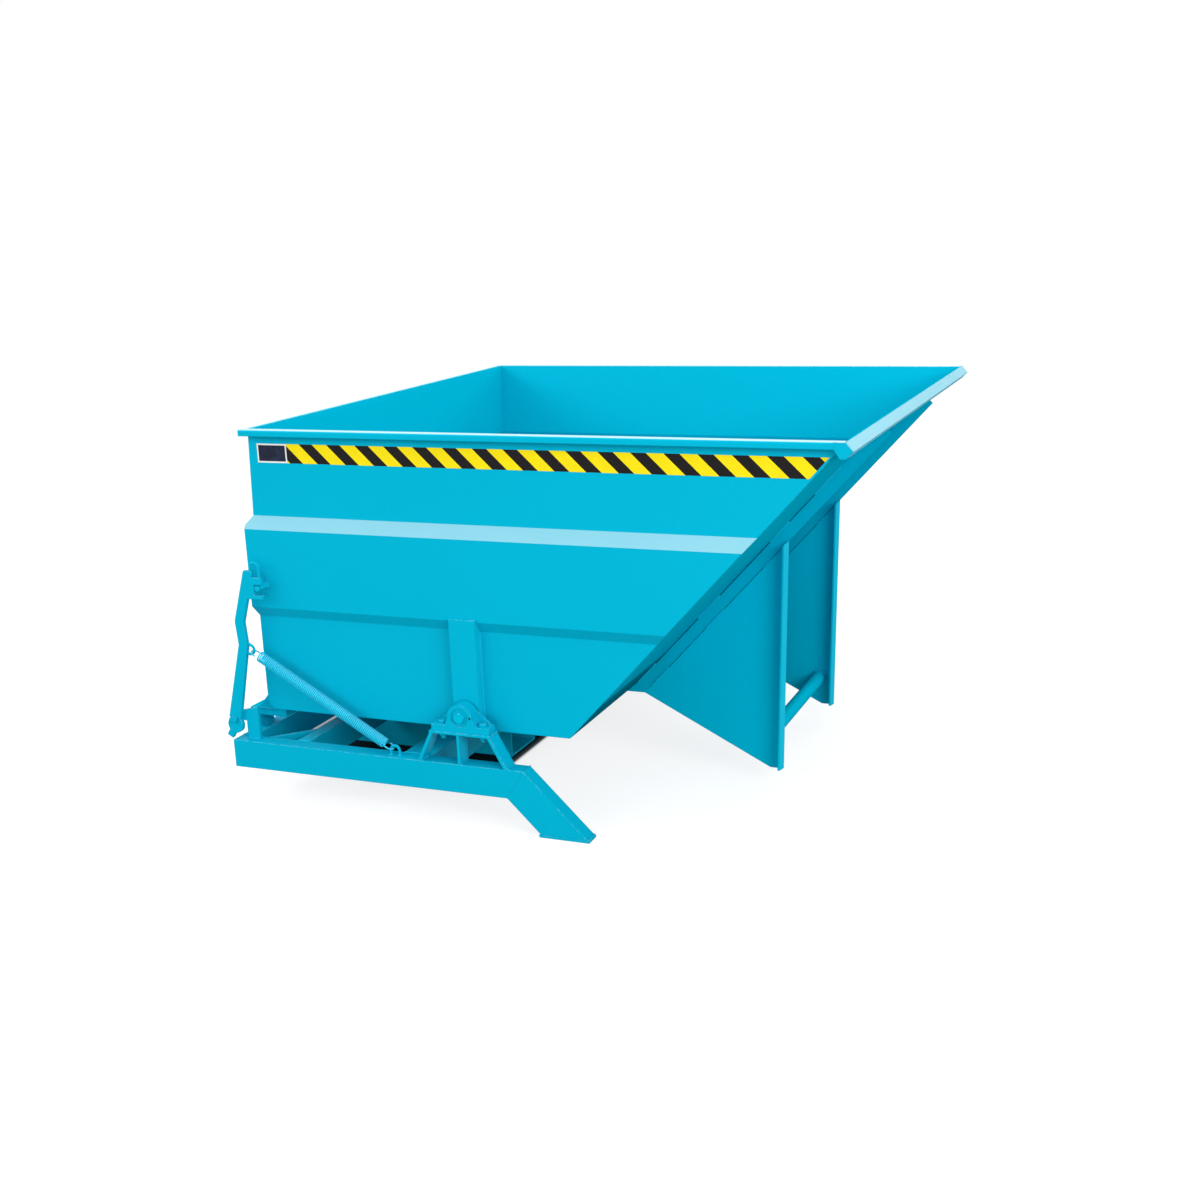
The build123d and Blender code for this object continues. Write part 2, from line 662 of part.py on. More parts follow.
def fork_pocket():
    """Rectangular sleeve for one fork arm."""
    inner = POCKET_SPACING / 2 - POCKET_WIDTH / 2
    outer = inner + POCKET_WIDTH
    wall = POCKET_WALL
    front = -FRONT_CROSS_BACK + FRONT_CROSS_WIDTH
    sleeve = block(-BEAM_BACK, front, inner, outer, 0, POCKET_HEIGHT)
    return sleeve - block(-BEAM_BACK, front, inner + wall, outer - wall, wall, POCKET_HEIGHT - wall)


def diagonal_brace():
    """Flat bar on edge across the corner between the side beam and the middle cross beam."""
    front = -MIDDLE_CROSS_BACK
    run = Vector(front + BRACE_BACK, BRACE_INNER - BEAM_IN, 0)
    across = BRACE_SHEET * run.length / abs(run.X)
    aside = BRACE_SHEET * run.length / abs(run.Y)
    points = [
        (-BRACE_BACK, BEAM_IN),
        (front, BRACE_INNER),
        (front, BRACE_INNER + across),
        (-BRACE_BACK + aside, BEAM_IN),
    ]
    return plate_xy(points, BEAM_LOW, BEAM_LOW + BRACE_HEIGHT)


def rest_post():
    """Short upright plate on the rear cross beam that the tub's rest lug lands on."""
    back = -BEAM_BACK
    return block(back, back + REST_SHEET, REST_OUTER - REST_WIDTH, REST_OUTER, BEAM_TOP, REST_TOP)


def rest_lug():
    """Flat bar behind the tub's bottom, over the rest post, with a cheek at each end."""
    low = REST_TOP + REST_GAP
    top = low + LUG_THICK
    wall = -REAR_LOWER_BACK
    toe = wall + REAR_BEND_RADIUS
    inner = REST_OUTER - REST_WIDTH
    lug = block(-BEAM_BACK - LUG_OVERHANG, toe, inner, REST_OUTER, low, top)
    high = top + LUG_CHEEK_RISE
    outline = [(wall - LUG_CHEEK_RUN, top), (wall, high), (toe, high), (toe, top)]
    for y in (inner, REST_OUTER - LUG_CHEEK_SHEET):
        lug += plate_xz(outline, y, y + LUG_CHEEK_SHEET) - tub_profile()
    return lug


def lever_place(point):
    """Turn a point measured from the lever's pivot into (x, z)."""
    return -LEVER_BACK + point[0], LEVER_PIVOT_HEIGHT + point[1]


def bar_outline(start, end, start_width, end_width):
    """Four corners (x, z) of a straight bar that may taper."""
    (x0, z0), (x1, z1) = start, end
    length = math.hypot(x1 - x0, z1 - z0)
    ox = (z1 - z0) / length / 2
    oz = -(x1 - x0) / length / 2
    w0, w1 = start_width, end_width
    return [
        (x0 + ox * w0, z0 + oz * w0),
        (x1 + ox * w1, z1 + oz * w1),
        (x1 - ox * w1, z1 - oz * w1),
        (x0 - ox * w0, z0 - oz * w0),
    ]


def between(low, high, height):
    """X at a height on the straight line through two (x, z) points."""
    share = (height - low[1]) / (high[1] - low[1])
    return low[0] + (high[0] - low[0]) * share


def catch_pin_x():
    """X of the catch pin, ahead of the lever's upper bar."""
    return between(lever_place(LEVER_NECK), lever_place(LEVER_TIP), CATCH_HEIGHT) + CATCH_AHEAD


def lever_nose_x():
    """X of the nose's front edge."""
    return catch_pin_x() + NOSE_AHEAD


def notch_back_x():
    """X of the notch's closed end, just behind the catch pin."""
    return catch_pin_x() - CATCH_PIN_R - CATCH_GAP


def tail_outline():
    """Four corners (x, z) of the lever's tail."""
    lobe = lever_place((0, -LEVER_LOBE_DROP))
    return bar_outline(lever_place(LEVER_TAIL), lobe, LEVER_TAIL_WIDTH, LEVER_TAIL_WIDTH)


def latch_lever():
    """Lever plate: a lobed root with a tail, a bar with a double bend and a nose notched for the pin."""
    pivot, knee, neck, tip = [lever_place(p) for p in ((0, 0), LEVER_KNEE, LEVER_NECK, LEVER_TIP)]
    lobe = lever_place((0, -LEVER_LOBE_DROP))
    y0, y1 = -LEVER_OUT, -LEVER_IN
    width = LEVER_WIDTH
    beyond = (tip[0] + (tip[0] - neck[0]) / 4, tip[1] + (tip[1] - neck[1]) / 4)
    lever = rod_y(*lobe, LEVER_LOBE_R, y0, y1)
    lever += plate_xz(bar_outline(lobe, pivot, 2 * LEVER_LOBE_R, LEVER_ROOT_WIDTH), y0, y1)
    lever += plate_xz(bar_outline(pivot, knee, LEVER_ROOT_WIDTH, width), y0, y1)
    lever += plate_xz(bar_outline(knee, neck, width, width), y0, y1)
    lever += plate_xz(bar_outline(neck, beyond, width, width), y0, y1)
    lever += plate_xz(tail_outline(), y0, y1)
    for x, z in (knee, neck):
        lever += rod_y(x, z, width / 2, y0, y1)
    nose = lever_nose_x()
    root = between(neck, tip, CATCH_HEIGHT)
    lever += block(root, nose, y0, y1, CATCH_HEIGHT - NOSE_BELOW, CATCH_HEIGHT + NOSE_ABOVE)
    lever -= block(notch_back_x(), nose, y0, y1, CATCH_HEIGHT - NOTCH_BELOW, CATCH_HEIGHT + NOTCH_ABOVE)
    lever -= block(neck[0], beyond[0] + width, y0, y1, tip[1], beyond[1] + width)
    return lever - rod_y(*pivot, LEVER_BOLT_R + SHAFT_CLEARANCE, y0, y1)


def lever_ear():
    """Upright ear on the side beam that carries the lever's pivot."""
    y0, y1 = -EAR_OUT, -EAR_OUT + EAR_SHEET
    pivot = lever_place((0, 0))
    top = BEAM_TOP + EAR_RISE
    web = plate_xz(
        [
            (-EAR_NECK, BEAM_TOP),
            (-EAR_FRONT, BEAM_TOP),
            (-EAR_FRONT, top),
            (pivot[0], pivot[1] + EAR_HUB_R),
            (pivot[0], pivot[1] - EAR_THROAT),
            (-EAR_NECK, pivot[1] - EAR_THROAT),
        ],
        y0,
        y1,
    )
    ear = web + rod_y(*pivot, EAR_HUB_R, y0, y1)
    return ear - rod_y(*pivot, LEVER_BOLT_R + SEAT_GAP, y0, y1)


def lever_bolt():
    """Pivot bolt with its head outside the lever."""
    pivot = lever_place((0, 0))
    tail = -EAR_OUT + EAR_SHEET + NUT_HEIGHT + BOLT_TAIL / 2
    shank = rod_y(*pivot, LEVER_BOLT_R, -LEVER_OUT - LEVER_GAP, tail)
    head = Plane((pivot[0], -LEVER_OUT - LEVER_GAP, pivot[1]), z_dir=(0, -1, 0))
    return shank + extrude(head * RegularPolygon(LEVER_BOLT_HEAD_R, 6), amount=BOLT_HEAD_HEIGHT)


def lever_nut():
    """Nut on the pivot bolt, inside the ear."""
    pivot = lever_place((0, 0))
    seat = Plane((pivot[0], -EAR_OUT + EAR_SHEET, pivot[1]), z_dir=(0, 1, 0))
    nut = extrude(seat * RegularPolygon(LEVER_BOLT_HEAD_R, 6), amount=NUT_HEIGHT)
    return nut - rod_y(*pivot, LEVER_BOLT_R + SEAT_GAP, -EAR_OUT, -EAR_OUT + EAR_SHEET + NUT_HEIGHT)


def eye(centre, outward, radius, leg):
    """Round rod bent to a half ring with two straight legs, in an XZ plane at the lever's middle."""
    side = Vector(outward.Z, 0, -outward.X)
    middle = Vector(centre[0], -LEVER_MID, centre[1])
    left = middle - side * radius
    right = middle + side * radius
    path = Wire(
        [
            Edge.make_line(left - outward * leg, left),
            Edge.make_three_point_arc(left, middle + outward * radius, right),
            Edge.make_line(right, right - outward * leg),
        ]
    )
    start = Plane(left - outward * leg, z_dir=outward)
    return sweep(start * Circle(EYE_ROD_R), path=path)


def spring_line():
    """Ends of the spring's line, at the middles of the two eyes' rods, and its direction."""
    knee = lever_place(LEVER_KNEE)
    edge_x = between(lever_place((0, 0)), knee, SPRING_EYE_HEIGHT) + LEVER_WIDTH / 2
    lever_centre = Vector(edge_x + EYE_LEG, 0, SPRING_EYE_HEIGHT)
    anchor_centre = Vector(-ANCHOR_BACK, 0, BEAM_TOP + ANCHOR_LEG)
    along = (anchor_centre - lever_centre).normalized()
    return lever_centre, anchor_centre, along


def spring_eye():
    """Eye on the lever's front edge that the spring hooks into."""
    centre, _, along = spring_line()
    return eye((centre.X, centre.Z), along, EYE_R, EYE_LEG + LEVER_WIDTH / 2) - latch_lever()


def spring_anchor():
    """Eye on the near side beam that the spring hooks into."""
    _, centre, _ = spring_line()
    return eye((centre.X, centre.Z), Vector(0, 0, 1), EYE_R, ANCHOR_LEG)


def rope_eye_centre():
    """Middle (x, z) of the rope eye's half ring, over the lever's nose."""
    return catch_pin_x() - ROPE_EYE_BACK, CATCH_HEIGHT + NOSE_ABOVE + ROPE_EYE_RISE


def rope_eye():
    """Eye for the pull rope, with one leg in the lever's nose and one on the end of its upper bar."""
    x, z = rope_eye_centre()
    leg = ROPE_EYE_RISE + NOSE_ABOVE - NOTCH_ABOVE
    bar_end = lever_place(LEVER_TIP)[1]
    below = block(x - 2 * ROPE_EYE_R, x, -LEVER_OUT, -LEVER_IN, CATCH_HEIGHT, bar_end)
    return eye((x, z), Vector(0, 0, 1), ROPE_EYE_R, leg) - latch_lever() - below


def catch_pin():
    """Round pin that the lever's notch closes over."""
    face = -PANEL_HALF - SWAGE_OUT
    return rod_y(catch_pin_x(), CATCH_HEIGHT, CATCH_PIN_R, face - CATCH_PIN_REACH, face)


def hazard_tape():
    """Striped tape along the upper panel, cut along the chute."""
    top = TAPE_LOW + TAPE_HEIGHT
    points = [
        (-TAPE_BACK, TAPE_LOW),
        (chute_x(TAPE_LOW) - TAPE_FRONT_MARGIN, TAPE_LOW),
        (chute_x(top) - TAPE_FRONT_MARGIN, top),
        (-TAPE_BACK, top),
    ]
    return plate_xz(points, PANEL_HALF, PANEL_HALF + TAPE_FILM)


def label_plate():
    """Bare plate at the tape's rear end."""
    top = TAPE_LOW + TAPE_HEIGHT
    return block(
        -TAPE_BACK - LABEL_LENGTH, -TAPE_BACK, -PANEL_HALF - TAPE_FILM, -PANEL_HALF, TAPE_LOW, top
    )


def biarc(p0, t0, p1, t1):
    """Two tangent arcs from one point and direction to another, as edges."""
    chord = p1 - p0
    total = t0 + t1
    a = 4 - total.dot(total)
    b = chord.dot(total)
    d = (math.sqrt(b * b + a * chord.dot(chord)) - b) / a
    meet = (p0 + t0 * d + p1 - t1 * d) * 0.5
    heading = (p1 - t1 * d - p0 - t0 * d).normalized()
    return [Edge.make_tangent_arc(p0, t0, meet), Edge.make_tangent_arc(meet, heading, p1)]


def spring_path():
    """Edges of the spring's wire line from hook to hook, with its turns as arcs, and its free end."""
    lever_centre, anchor_centre, along = spring_line()
    offset = Vector(0, -LEVER_MID, 0)
    up = Vector(0, 1, 0)
    over = along.cross(up)
    loop_r = math.hypot(SPRING_COIL_R, SPRING_HOOK_TURN)
    lead = math.atan2(SPRING_HOOK_TURN, SPRING_COIL_R)
    seat = loop_r - SPRING_WIRE_R - EYE_ROD_R - SPRING_GAP
    reach = SPRING_HOOK_TURN + SPRING_HOOK_RUN + seat
    first = lever_centre + offset + along * (EYE_R + reach)
    last = anchor_centre + offset - along * (EYE_R + reach)
    coil = last - first
    turn = 2 * math.pi * SPRING_TURNS + math.pi - 2 * lead

    def helix(share):
        angle = lead + turn * share
        spoke = up * math.cos(angle) + over * math.sin(angle)
        swing = up * -math.sin(angle) + over * math.cos(angle)
        heading = swing * (SPRING_COIL_R * turn) + coil
        return first + coil * share + spoke * SPRING_COIL_R, heading.normalized()

    steps = 4 * SPRING_TURNS + 2
    knots = [helix(i / steps) for i in range(steps + 1)]
    turns = []
    for (p0, t0), (p1, t1) in zip(knots, knots[1:]):
        turns += biarc(p0, t0, p1, t1)

    def hook(knot, outward):
        """Hook beyond one end of the coil, from the coil to the free end."""
        point, heading = knot
        y_sign = 1 if point.Y + LEVER_MID > 0 else -1
        level = up * (y_sign * loop_r)
        base = first if outward.dot(along) < 0 else last
        run_start = base + level + outward * SPRING_HOOK_TURN
        run_end = run_start + outward * SPRING_HOOK_RUN
        top = base + outward * (SPRING_HOOK_TURN + SPRING_HOOK_RUN + loop_r)
        far = run_end - level * 2
        free = far - outward * SPRING_HOOK_END
        edges = biarc(point, heading, run_start, outward)
        edges.append(Edge.make_line(run_start, run_end))
        edges.append(Edge.make_three_point_arc(run_end, top, far))
        edges.append(Edge.make_line(far, free))
        return edges, free

    start_edges, start_free = hook((knots[0][0], knots[0][1] * -1), along * -1)
    end_edges, _ = hook(knots[-1], along)
    return start_edges[::-1] + turns + end_edges, start_free, along * -1


def latch_spring():
    """Tension spring: one round wire along the spring's line."""
    edges, free_end, heading = spring_path()
    section = Plane(free_end, z_dir=heading) * Circle(SPRING_WIRE_R)
    return sweep(section, path=Wire(edges))


def spring_gap():
    """Least gap of the spring's wire to itself, measured on points along its line."""
    edges = spring_path()[0]
    shares = (0.125, 0.375, 0.625, 0.875)
    points = np.array([tuple(edge.position_at(share)) for edge in edges for share in shares])
    lengths = np.repeat([edge.length / len(shares) for edge in edges], len(shares))
    along = np.cumsum(lengths)
    apart = np.linalg.norm(points[:, None, :] - points[None, :, :], axis=2)
    own = np.abs(along[:, None] - along[None, :]) < SPRING_COIL_R * 1.5
    return float(np.min(np.where(own, np.inf, apart))) - 2 * SPRING_WIRE_R


def centre_shift():
    """Shift along X that centres the hopper, from the lever's tail to the lip, over the origin."""
    rear = min(x for x, _ in tail_outline())
    return -(rear + LIP_FRONT) / 2


def save(name, *shapes):
    """Centre a node's solids over the origin and write them to one STEP file."""
    solids = [solid for shape in shapes for solid in shape.solids()]
    placed = [Pos(centre_shift(), 0, 0) * solid for solid in solids]
    node = placed[0] if len(placed) == 1 else Compound(children=placed)
    export_step(node, os.path.join("parts", name + ".step"))


def save_pair(name, shape):
    """Write a piece on the +Y side and its twin on the -Y side."""
    save(name + "_far", shape)
    save(name + "_near", near(shape))


def main():
    """Build every node of the hopper."""
    os.makedirs("parts", exist_ok=True)
    save_pair("side_panel", side_panel())
    save("rear_wall", rear_wall())
    save("floor_plate", floor_plate())
    save("chute_plate", chute_plate())
    save("front_lip", front_lip())
    save("lip_caps", lip_cap(), near(lip_cap()))
    save_pair("side_rim", side_rim())
    save("rear_rim", rear_rim())
    save_pair("chute_rib", chute_rib())
    plate = support_plate()
    save("support_plate_far", plate)
    save("support_plate_near", Pos(0, -RIB_SPACING, 0) * plate)
    save("cross_tube", cross_tube())
    save_pair("pivot_rib", pivot_rib())
    save_pair("stub_shaft", stub_shaft())
    save("rest_lugs", rest_lug(), near(rest_lug()))
    save("catch_pin", catch_pin())
    save_pair("hazard_tape", hazard_tape())
    save("label_plate", label_plate())

    save_pair("side_beam", side_beam())
    save("beam_end_caps", beam_end_cap(), near(beam_end_cap()))
    save_pair("front_leg", front_leg())
    save_pair("foot_plate", foot_plate())
    save("rear_cross_beam", cross_beam(-BEAM_BACK, REAR_CROSS_WIDTH))
    save("middle_cross_beam", cross_beam(-MIDDLE_CROSS_BACK, MIDDLE_CROSS_WIDTH))
    save("front_cross_beam", cross_beam(-FRONT_CROSS_BACK, FRONT_CROSS_WIDTH))
    save_pair("fork_pocket", fork_pocket())
    save_pair("diagonal_brace", diagonal_brace())
    save_pair("pedestal", pedestal())
    save_pair("bearing_housing", bearing_housing())
    save_pair("bearing_insert", bearing_insert())
    bolts = housing_bolts()
    nuts = housing_nuts()
    save("housing_bolts", *bolts, *[near(bolt) for bolt in bolts])
    save("housing_nuts", *nuts, *[near(nut) for nut in nuts])
    save_pair("rest_post", rest_post())
    save("lever_ear", lever_ear())
    save("lever_bolt", lever_bolt())
    save("lever_nut", lever_nut())
    save("spring_anchor", spring_anchor())
    save("latch_spring", latch_spring())
    print("latch spring, least gap of the wire to itself: %.2f mm" % spring_gap())

    save("latch_lever", latch_lever())
    save("spring_eye", spring_eye())
    save("rope_eye", rope_eye())


if __name__ == "__main__":
    main()
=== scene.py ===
"""Finishes for the tipping hopper: painted sheet, striped tape, weld beads and the latch spring.

Lengths are metres in the frame's own axes: +X to the chute's lip, +Z up, the latch lever on the -Y side.
"""

from __future__ import annotations

import json
import logging
import math
from dataclasses import dataclass, field
from enum import Enum
from typing import Any, Callable, Union

import bpy
import numpy as np
from mathutils import Matrix, Vector

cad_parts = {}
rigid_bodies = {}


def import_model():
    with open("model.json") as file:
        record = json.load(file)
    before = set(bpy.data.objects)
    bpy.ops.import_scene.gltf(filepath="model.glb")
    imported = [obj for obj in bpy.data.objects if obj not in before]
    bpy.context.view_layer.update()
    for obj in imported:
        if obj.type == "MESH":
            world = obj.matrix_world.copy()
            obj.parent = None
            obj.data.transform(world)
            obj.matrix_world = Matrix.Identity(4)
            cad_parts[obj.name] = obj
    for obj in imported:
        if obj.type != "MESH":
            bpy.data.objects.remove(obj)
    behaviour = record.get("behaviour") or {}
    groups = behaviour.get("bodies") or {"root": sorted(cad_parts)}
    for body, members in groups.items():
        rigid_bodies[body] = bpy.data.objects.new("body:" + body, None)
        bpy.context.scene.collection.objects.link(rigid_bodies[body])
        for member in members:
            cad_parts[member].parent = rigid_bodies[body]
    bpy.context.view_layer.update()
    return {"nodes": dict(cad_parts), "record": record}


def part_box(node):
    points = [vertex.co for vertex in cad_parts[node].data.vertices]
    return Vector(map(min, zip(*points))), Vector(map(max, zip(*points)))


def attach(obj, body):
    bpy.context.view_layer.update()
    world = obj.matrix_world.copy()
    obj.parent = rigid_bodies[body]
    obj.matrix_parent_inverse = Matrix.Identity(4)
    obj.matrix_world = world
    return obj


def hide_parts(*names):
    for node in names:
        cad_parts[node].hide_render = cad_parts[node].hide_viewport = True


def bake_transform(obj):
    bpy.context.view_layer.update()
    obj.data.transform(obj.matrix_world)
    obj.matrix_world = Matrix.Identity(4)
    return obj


LOG = logging.getLogger("hopper")

Colour = tuple[float, float, float, float]
Triple = tuple[float, float, float]
Pair = tuple[float, float]
Faces = list[list[int]]
Operand = Union["Signal", float]
Settings = dict[str, Any]
Inputs = dict[Union[int, str], Any]

WHITE: Colour = (1.0, 1.0, 1.0, 1.0)
FULL_TURN = 2.0 * math.pi
FILLET = 0.005
SMALL_FILLET = 0.0045
THIN_FILLET = 0.004
WIDE_FILLET = 0.006


class Body(Enum):
    """The three bodies that pieces ride on."""

    TUB = "tub"
    BASE = "base"
    LEVER = "lever"


class Slot(Enum):
    """Material slots of the record."""

    PAINT = "paint"


def operator(operation: str, swapped: bool = False) -> Callable[..., Signal]:
    """Make a method of Signal that adds one Math node.

    Args:
        operation: The node's operation.
        swapped: Whether the other value comes first.

    Returns:
        The method.
    """

    def method(self: Signal, other: Operand = 0.0) -> Signal:
        """Work out the operation on this value and another one."""
        first, second = (other, self) if swapped else (self, other)
        return self.graph.signal("ShaderNodeMath", {"operation": operation}, {0: first, 1: second})

    return method


class Signal:
    """One number that runs through a shader; arithmetic on it adds Math nodes."""

    __add__ = operator("ADD")
    __radd__ = operator("ADD", swapped=True)
    __sub__ = operator("SUBTRACT")
    __rsub__ = operator("SUBTRACT", swapped=True)
    __mul__ = operator("MULTIPLY")
    __rmul__ = operator("MULTIPLY", swapped=True)
    __mod__ = operator("FLOORED_MODULO")
    largest = operator("MAXIMUM")
    smallest = operator("MINIMUM")
    size = operator("ABSOLUTE")

    def __init__(self, graph: Graph, socket: bpy.types.NodeSocket) -> None:
        """Wrap an output socket.

        Args:
            graph: The graph that the socket belongs to.
            socket: The output socket that carries the value.
        """
        self.graph = graph
        self.socket = socket

    def ramp(self, low: float, high: float) -> Signal:
        """Smooth step from 0 at low to 1 at high.

        Args:
            low: Value where the step begins.
            high: Value where the step ends.

        Returns:
            The stepped value.
        """
        settings = {"interpolation_type": "SMOOTHSTEP"}
        inputs = {"Value": self, "From Min": low, "From Max": high}
        return self.graph.signal("ShaderNodeMapRange", settings, inputs)


class Graph:
    """A node tree that is written as Python expressions."""

    def __init__(self, tree: bpy.types.NodeTree) -> None:
        """Empty the tree.

        Args:
            tree: Node tree of a material or of the world.
        """
        self.tree = tree
        self.tree.nodes.clear()

    def node(
        self, kind: str, settings: Settings | None = None, inputs: Inputs | None = None
    ) -> bpy.types.Node:
        """Add a node of any kind.

        Args:
            kind: The node's type name.
            settings: Properties, set before the sockets.
            inputs: Socket values or links, by name or index.

        Returns:
            The new node.
        """
        node = self.tree.nodes.new(kind)
        for name, value in (settings or {}).items():
            setattr(node, name, value)
        for key, value in (inputs or {}).items():
            if isinstance(value, Signal):
                self.tree.links.new(value.socket, node.inputs[key])
            else:
                node.inputs[key].default_value = value
        return node

    def signal(
        self,
        kind: str,
        settings: Settings | None = None,
        inputs: Inputs | None = None,
        output: int | str = 0,
    ) -> Signal:
        """Add a node and return one of its outputs.

        Args:
            kind: The node's type name.
            settings: Properties, set before the sockets.
            inputs: Socket values or links, by name or index.
            output: Name or index of the output.

        Returns:
            The output as a signal.
        """
        return Signal(self, self.node(kind, settings, inputs).outputs[output])

    def place(self) -> Signal:
        """Object coordinates, which are the frame's own metres."""
        return self.signal("ShaderNodeTexCoord", output="Object")

    def normal(self) -> Signal:
        """The surface's own normal, in the object's axes."""
        return self.signal("ShaderNodeTexCoord", output="Normal")

    def axes(self, vector: Signal) -> tuple[Signal, Signal, Signal]:
        """Split a vector into X, Y and Z."""
        node = self.node("ShaderNodeSeparateXYZ", inputs={0: vector})
        return tuple(Signal(self, socket) for socket in node.outputs)

    def dot(self, first: Signal, second: Signal | Triple) -> Signal:
        """Dot product of two vectors."""
        settings = {"operation": "DOT_PRODUCT"}
        return self.signal("ShaderNodeVectorMath", settings, {0: first, 1: second}, "Value")

    def noise(self, scale: float, detail: float = 2.0, stretch: Triple | None = None) -> Signal:
        """Soft noise around one half.

        Args:
            scale: Waves per metre.
            detail: Number of finer layers.
            stretch: Factor on each axis, or None for the same on all.

        Returns:
            Noise from 0 to 1.
        """
        point = self.place()
        if stretch is not None:
            point = self.signal("ShaderNodeMapping", inputs={"Vector": point, "Scale": stretch})
        return self.signal("ShaderNodeTexNoise", inputs={"Vector": point, "Scale": scale, "Detail": detail})

    def blend(self, share: Operand, first: Signal | Colour, second: Signal | Colour) -> Signal:
        """Mix two colours.

        Args:
            share: 0 for the first colour, 1 for the second.
            first: Colour at 0.
            second: Colour at 1.

        Returns:
            The mixed colour.
        """
        inputs = {0: share, 6: first, 7: second}
        return self.signal("ShaderNodeMix", {"data_type": "RGBA"}, inputs, output=2)

    def surface(self, shader: Signal, kind: str = "ShaderNodeOutputMaterial") -> None:
        """Link a shader to the tree's output."""
        self.node(kind, inputs={"Surface": shader})

    def coat(
        self, colour: Signal, roughness: Operand, specular: float, normal: Signal | None = None
    ) -> None:
        """Finish the tree with a principled surface.

        Args:
            colour: Base colour.
            roughness: Roughness from 0 to 1.
            specular: Strength of the reflection.
            normal: Bumped normal, or None for the surface's own.
        """
        inputs = {"Base Color": colour, "Roughness": roughness, "Specular IOR Level": specular}
        if normal is not None:
            inputs["Normal"] = normal
        self.surface(self.signal("ShaderNodeBsdfPrincipled", inputs=inputs))


def new_graph(name: str) -> tuple[bpy.types.Material, Graph]:
    """Make an empty material.

    Args:
        name: The material's name.

    Returns:
        The material and its graph.
    """
    material = bpy.data.materials.new(name)
    material.use_nodes = True
    return material, Graph(material.node_tree)


def shade(colour: Colour, factor: float) -> Colour:
    """A colour with its brightness multiplied."""
    return (colour[0] * factor, colour[1] * factor, colour[2] * factor, 1.0)


@dataclass(frozen=True)
class CoatTexture:
    """Fine structure of every coating: patches, grain, relief, painted highlight specks on edges and
    streaks in the painted sheen.

    Scales are in waves per metre. Shares weigh a noise in the tint or the sheen, and gloss weighs it in the
    roughness. Ranges are the two values between which a mask steps from 0 to 1: for bend, one minus the
    cosine between the flat and the rounded normal; for upward and ahead, the rounded normal's Z and X.
    """

    patch_scale: float = 2.3
    patch_share: float = 0.6
    patch_gloss: float = 0.10
    grain_scale: float = 160.0
    grain_share: float = 1.2
    grain_gloss: float = 0.06
    peel_scale: float = 650.0
    speck_scale: float = 120.0
    speck_range: Pair = (0.42, 0.60)
    streak_scale: float = 9.0
    streak_stretch: Triple = (0.4, 1.0, 1.0)
    streak_range: Pair = (0.1, 0.9)
    streak_share: float = 0.12
    bevel_samples: int = 6
    bend_range: Pair = (0.006, 0.16)
    upward_range: Pair = (-0.05, 0.25)
    ahead_range: Pair = (-0.40, -0.15)
    inward_range: Pair = (0.02, -0.02)


